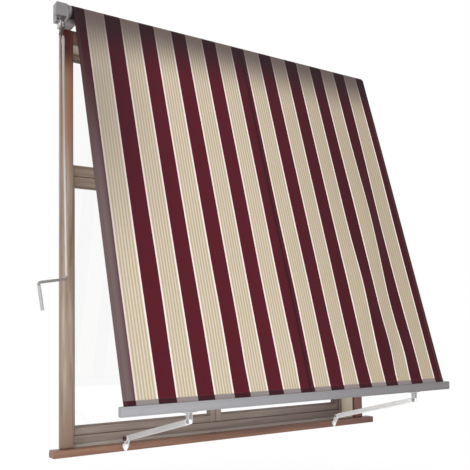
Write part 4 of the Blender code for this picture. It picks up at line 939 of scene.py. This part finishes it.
class AWNING_OT_crank(AwningOperator, bpy.types.Operator):
    """Eye of the gear and the winding rod that hangs in it: hook, rod, crank arm and grip"""
    bl_idname = "awning.crank"
    bl_label = "Winding rod"

    def hung(self, points):
        """Points given upright about the eye's foot, leant as the rod hangs."""
        x, y, z = np.asarray(points, float).T
        lean = np.stack([x * cos(ROD_LEAN) - z * sin(ROD_LEAN), y, x * sin(ROD_LEAN) + z * cos(ROD_LEAN)], axis=1)
        return EYE + lean

    def execute(self, context):
        eased("winding_eye", "dark", 0.0, turn=50)
        self.hook()
        self.rod()
        self.handle()
        return {"FINISHED"}

    def hook(self):
        """Wire from the rod's top through the eye: a half circle in the eye and a tail that thins to its end."""
        half = np.radians(np.linspace(0, 180, 9))
        bow = np.stack([0 * half, 0.0058 * np.cos(half), 0.0058 * np.sin(half)], axis=1)
        shank = mm((0, 0, -66), (0, 0, -50), (0, 4.06, -32), (0, 5.8, -14))
        end = mm((-1, -5.8, -10), (-10.8, -6.38, -23), (-21.6, -5.8, -34.5), (-24, -5.8, -46))
        path = flowing(np.vstack([shank, bow, end]))
        thin = np.ones(len(path))
        thin[-5:] = (0.97, 0.9, 0.76, 0.5, 0)
        hook = carried(self.hung(path), ring(0.003, 16), reference=(1, 0.1, 0), scale=thin)
        shaped("hook_wire", hook, "dark", "crank", ("crank_hook",), 60)

    def rod(self):
        """The straight rod with a ferrule at its top and another at its foot."""
        profile = mm((41, 0), (41, 4.6), (42.4, 5.4), (60, 8), (62, 8.6), (88, 8.6), (89.6, 8), (91, 7.5), (1278, 7.5),
                     (1279.4, 8.2), (1306.6, 8.2), (1307.8, 7.4), (1307.8, 0))
        top, foot = self.hung([(0, 0, 0), (0, 0, -1)])
        shaped("winding_rod", turned(profile, top, foot - top, 28), "rod", "crank", ("crank_rod",), 40)

    def handle(self):
        """The crank's bent bar and the swelling grip that turns on its end."""
        out = np.array([-cos(CRANK_DIP), 0, -sin(CRANK_DIP)])
        below = np.array([sin(CRANK_DIP), 0, -cos(CRANK_DIP)])
        elbow = np.array([0, 0, CRANK_ELBOW])
        knee = elbow + CRANK_REACH * out
        path = self.hung(bent([(0, 0, CRANK_ELBOW + 0.0228), elbow, knee, knee + 0.1416 * below], 0.011))
        thick = np.full(len(path), 0.0074)
        thick[0] = thick[-1] = 0.0060
        bar = capped(*carried(path, ring(1.0, 20), scale=thick))
        shaped("crank_bar", bar, "crank", "crank", ("crank_arm",), 50)
        start, end = self.hung([knee, knee + below])
        reach = np.hstack([0.0150, 0.0150, 0.0158, np.linspace(0.0175, 0.1395, 22), 0.1418, 0.1427, 0.1428, 0.1428])
        swell = 0.0084 + 0.0007 * np.sin(np.clip((reach - 0.015) / 0.128, 0, 1) * tau / 2)
        swell[:3], swell[-4:] = mm(6.4, 7.8, 8.3), mm(8.2, 7.4, 6, 0)
        grip = turned(np.stack([reach, swell], axis=1), start, end - start, 32)
        shaped("grip_sleeve", grip, "grip", "grip", ("crank_grip",), 50)


class AWNING_OT_arms(AwningOperator, bpy.types.Operator):
    """Folding arms with their base brackets, castings and clamp knobs"""
    bl_idname = "awning.arms"
    bl_label = "Arms"

    def execute(self, context):
        spread, front, height = 0.018, -0.0773, 0.0185
        for side, x, outward in SIDES:
            for part in ("base_bracket", "arm_foot", "arm_tip"):
                eased(f"{side}_{part}", "bracket", sizes().metal_edge)
            self.tube(side, x)
            self.knob(side, (x, *PIVOT), (outward, 0, 0))
            heads = joined(*[screw((x + a * spread, front, height), (0, -1, 0)) for a in (-1, 1)])
            shaped(f"{side}_base_screws", heads, "steel", "root")
        return {"FINISHED"}

    def tube(self, side, x):
        """A rectangle with round corners and a shallow channel in each flank, carried along the arm."""
        node = f"{side}_arm_tube"
        along = unit(ARM_RUN)
        across = unit(np.cross(along, (1, 0, 0)))
        start, end = spanned(node, along)
        middle = sum(spanned(node, across)) / 2
        corner = rounded(0.0155, 0.0100, 0.0042)
        channel = mm((5.2, 10), (4.2, 9.1), (-4.2, 9.1), (-5.2, 10))
        profile = np.vstack([corner[:6], channel, corner[6:18], -channel, corner[18:]])
        reach = np.hstack([start, start + 0.0006, start + 0.002, np.linspace(start + 0.004, end - 0.004, 9),
                           end - 0.002, end - 0.0006, end])
        thin = np.ones(len(reach))
        thin[[0, -1]], thin[[1, -2]] = 0.955, 0.985
        thin *= np.linspace(0.94, 0.86, len(reach))
        path = reach[:, None] * along + middle * across + np.array([x, 0, 0])
        tube = capped(*carried(path, profile, reference=(1, 0, 0), scale=thin))
        shaped(f"{side}_arm_extrusion", tube, "arm", body_of(node), (node,), 30)

    def knob(self, side, place, axis):
        """A turned knob whose radius dips five times round, a boss on its face, its stem and a hexagon nut."""
        node = f"{side}_knob"
        face = mm((13, 0), (13, 12), (13.7, 14.3), (15.2, 15.3), (17.5, 15.6), (22.5, 15.6), (24.8, 15.1), (26.2, 13.8),
                  (26.9, 11.6), (27, 9.2), (26.2, 7.8), (26.2, 6), (27.2, 5.2), (27.5, 4), (27.6, 0))
        star = turned(face, place, axis, 90, lobes=5, depth=0.0024)
        stem = turned(mm((-15.8, 0), (-15.8, 3.8), (13.5, 3.8), (13.5, 0)), place, axis, 24)
        washer = turned(mm((11, 0), (11, 7.8), (13.1, 7.8), (13.1, 0)), place, axis, 36)
        nut = turned(mm((-11, 0), (-11, 6.6), (-11.5, 7.2), (-14.8, 7.2), (-15.3, 6.6), (-15.3, 0)), place, axis, 6)
        shaped(f"{side}_clamp_knob", star, "knob", body_of(node), (node,), 38)
        shaped(f"{side}_clamp_stem", joined(stem, washer, nut), "steel", body_of(node))


class AWNING_OT_bar(AwningOperator, bpy.types.Operator):
    """Front bar with its caps, hem rod, brackets, screws and tip bolts"""
    bl_idname = "awning.bar"
    bl_label = "Front bar"

    def execute(self, context):
        edge = sizes().metal_edge
        low, high, middle, half = box_of("front_bar")
        self.extrusion(low, high, middle, half)
        steps = mm(0, 1.6, 2.4, 2.9, 3.1, 3.1)
        spread, under = 0.022, low[2] - 0.0033
        for side, x, outward in SIDES:
            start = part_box(f"bar_cap_{side}")[0 if outward > 0 else 1][0]
            path = middle * (0, 1, 1) + (start + outward * steps)[:, None] * (1, 0, 0)
            cap = carried(path, rounded(half[2], half[1], 0.0040), scale=(1, 1, 0.985, 0.95, 0.90, 0))
            shaped(f"bar_end_{side}", cap, "cap", "front_bar", (f"bar_cap_{side}",), 40)
            head = screw((start + outward * 0.0029, middle[1], middle[2] - 0.010), (outward, 0, 0), 0.0034, 0.0016)
            shaped(f"bar_end_screw_{side}", head, "steel", "front_bar")
            eased(f"bar_bracket_{side}", "bracket_grey", edge)
            eased(f"tip_bolt_{side}", "steel", edge / 2)
            heads = joined(*[screw((x + a * spread, TIP_Y, under), (0, 0, -1)) for a in (-1, 1)])
            shaped(f"bar_screws_{side}", heads, "dark", "front_bar")
        self.rod()
        return {"FINISHED"}

    def rod(self):
        """The rod in the cloth's hem turned about its own axis: domed ends, and a shallow waist at each of seven
        places where the hem is clipped to it."""
        low, _, middle, half = box_of("hem_rod")
        long, radius = 2 * half[0], half[2]
        dome = arc((radius, 0), radius, 180, 90, 8)
        reach = np.linspace(0.01, long - 0.01, 141)
        waist = 0.00045 * np.exp(-((reach - np.round(reach / 0.3) * 0.3) / 0.004) ** 2)
        profile = np.vstack([dome, np.stack([reach, radius - waist], axis=1), (long, 0) + dome[::-1] * (-1, 1)])
        rod = turned(profile, (low[0], *middle[1:]), (1, 0, 0), 24)
        shaped("hem_rod_turned", rod, "grip", "front_bar", ("hem_rod",), 50)

    def extrusion(self, low, high, middle, half):
        """The bar's outline carried along it: round corners, a line pressed into each face near its foot and another
        near its top, and an open round groove in the top that holds the hem rod."""
        corner = 0.0028
        _, deep, tall = half
        press = mm((0, -1.1), (0.8, -0.7), (0.8, 0.7), (0, 1.1))
        lines = [press + (-deep, h) for h in (-tall + 0.0075, tall - 0.0085)]
        groove = arc((0, tall - 0.0105), 0.0060, 114.6, 425.4, 26)
        outline = np.vstack([[(0.0025, tall)], arc((deep - corner, tall - corner), corner, 90, 0, 6),
                             lines[1][::-1] * (-1, 1), lines[0][::-1] * (-1, 1),
                             arc((deep - corner, corner - tall), corner, 0, -90, 6),
                             arc((corner - deep, corner - tall), corner, -90, -180, 6), *lines,
                             arc((corner - deep, tall - corner), corner, 180, 90, 6), [(-0.0025, tall)], groove])
        path = middle * (0, 1, 1) + np.linspace(low[0], high[0], 9)[:, None] * (1, 0, 0)
        bar = capped(*carried(path, outline[:, ::-1]))
        shaped("front_bar_extrusion", bar, "bar", "front_bar", ("front_bar",), 30)


class AWNING_OT_cloth(AwningOperator, bpy.types.Operator):
    """The hanging striped cloth and the turns wound on the roller"""
    bl_idname = "awning.cloth"
    bl_label = "Cloth"

    def execute(self, context):
        self.hanging()
        self.wound()
        return {"FINISHED"}

    def hanging(self):
        """A sheet on a grid of (across, down): a straight run down the slope from the roll, plus heights square to
        it that are the sum of soft ripples, each height * exp(-(da / width)^2 - (dd / length)^2), all faded out
        towards both ends. Above the run a few millimetres follow the roll: radius * (cos, sin)."""
        s = sizes()
        wrap, foot, tuck = 0.004, CLOTH_DROP - 0.036, CLOTH_DROP + 0.006
        seam_edges = [SEAM + side * SEAM_WIDTH / 2 + step for side in (-1, 1) for step in (-0.0004, 0.0004)]
        across = np.sort(np.hstack([np.linspace(0, CLOTH_WIDTH, 261), seam_edges]))
        down = np.hstack([np.linspace(-wrap, 0, 4)[:-1], np.linspace(0, foot, 152)[:-1], np.linspace(foot, tuck, 22)])
        a, d = np.meshgrid(across, down, indexing="xy")
        height = np.zeros_like(a)
        for place, fall, rise, wide, long in RIPPLES:
            height += rise * np.exp(-((a - place) / wide) ** 2 - ((d - fall) / long) ** 2)
        low = np.clip((CLOTH_DROP - 0.03 - d) / 0.16, 0, 1)
        height *= s.ripple * low * low * (3 - 2 * low) * np.clip(d / 0.25, 0, 1)
        height += 0.0012 * np.sin(a * tau / 0.31 + 0.8) * np.sin(np.clip(d / CLOTH_DROP, 0, 1) * tau / 2)
        height += 0.0007 * (np.abs(a - SEAM) < SEAM_WIDTH / 2) * (d > 0.02) * (d < CLOTH_DROP - 0.02)
        height += 0.0012 * np.clip((d - CLOTH_DROP + s.bottom_hem) / 0.002, 0, 1)
        out = np.array([0, -cos(CLOTH_SLOPE), sin(CLOTH_SLOPE)])
        along = np.array([0, -sin(CLOTH_SLOPE), -cos(CLOTH_SLOPE)])
        start = ROLL_AXIS + STAND_OFF * out
        turn = np.clip(-d, 0, None) / STAND_OFF
        on_roll = ROLL_AXIS + STAND_OFF * (np.cos(turn)[..., None] * out - np.sin(turn)[..., None] * along)
        on_run = start + np.clip(d, 0, None)[..., None] * along + height[..., None] * out
        points = np.where((d < 0)[..., None], on_roll, on_run)
        points[..., 0] = CLOTH_LEFT + a
        mesh = mesh_from("hanging_cloth", points, quads(*a.shape)[:, ::-1], closed=False, uv=np.stack([a, d], axis=-1))
        piece = add_piece("hanging_cloth", mesh, "cloth", "cloth", ("cloth_panel",), turn=80)
        thickened(piece, SHEET)
        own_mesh(piece)

    def wound(self):
        """The turns as one spiral sheet: radius rising with the angle from the tube to the roll's outside, and each
        turn's edge a little out of line with the last."""
        turns, inner, outer = 6.0, 0.0262, ROLL_RADIUS - 0.0004
        angle = np.linspace(0, turns * tau, int(turns * 40) + 1)
        radius = inner + (outer - inner) * angle / angle[-1]
        leave = np.arctan2(sin(CLOTH_SLOPE), -cos(CLOTH_SLOPE))
        bearing = leave - (angle - angle[-1])
        across = np.hstack([0.0, np.linspace(0.01, CLOTH_WIDTH - 0.01, 42), CLOTH_WIDTH])
        g, a = np.meshgrid(angle, across, indexing="ij")
        y, z = ROLL_AXIS[1] + radius * np.cos(bearing), ROLL_AXIS[2] + radius * np.sin(bearing)
        stray = 0.0009 * np.sin(g * 0.9) * (np.abs(a - CLOTH_WIDTH / 2) > 1.0)
        points = np.stack([CLOTH_LEFT + a + stray, *(np.broadcast_to(v[:, None], a.shape) for v in (y, z))], axis=-1)
        mesh = mesh_from("wound_cloth_turns", points, quads(*g.shape), closed=False)
        piece = add_piece("wound_cloth_turns", mesh, "wound", "roller", ("wound_cloth",), turn=80)
        thickened(piece, 0.0009)


class AWNING_PT_panel(bpy.types.Panel):
    """The awning's steps in the sidebar"""
    bl_label = "Awning"
    bl_idname = "AWNING_PT_panel"
    bl_space_type = "VIEW_3D"
    bl_region_type = "UI"
    bl_category = "Awning"

    def draw(self, context):
        for step in STEPS:
            self.layout.operator(step.bl_idname)
        for group in (context.scene.awning_sizes, context.scene.awning_colours):
            for name in group.bl_rna.properties.keys():
                if name not in ("rna_type", "name"):
                    self.layout.prop(group, name)


STEPS = (AWNING_OT_finishes, AWNING_OT_timber, AWNING_OT_window, AWNING_OT_gear, AWNING_OT_crank, AWNING_OT_arms,
         AWNING_OT_bar, AWNING_OT_cloth, AWNING_OT_stage)


def register():
    for group in (AwningSizes, AwningColours):
        bpy.utils.register_class(group)
    bpy.types.Scene.awning_sizes = PointerProperty(type=AwningSizes)
    bpy.types.Scene.awning_colours = PointerProperty(type=AwningColours)
    for item in (*STEPS, AWNING_PT_panel):
        bpy.utils.register_class(item)


def unregister():
    for item in (AWNING_PT_panel, *reversed(STEPS)):
        bpy.utils.unregister_class(item)
    del bpy.types.Scene.awning_colours
    del bpy.types.Scene.awning_sizes
    for group in (AwningColours, AwningSizes):
        bpy.utils.unregister_class(group)


def main():
    """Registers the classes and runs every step."""
    register()
    for step in STEPS:
        group, name = step.bl_idname.split(".")
        getattr(getattr(bpy.ops, group), name)()


if __name__ == "__main__":
    main()
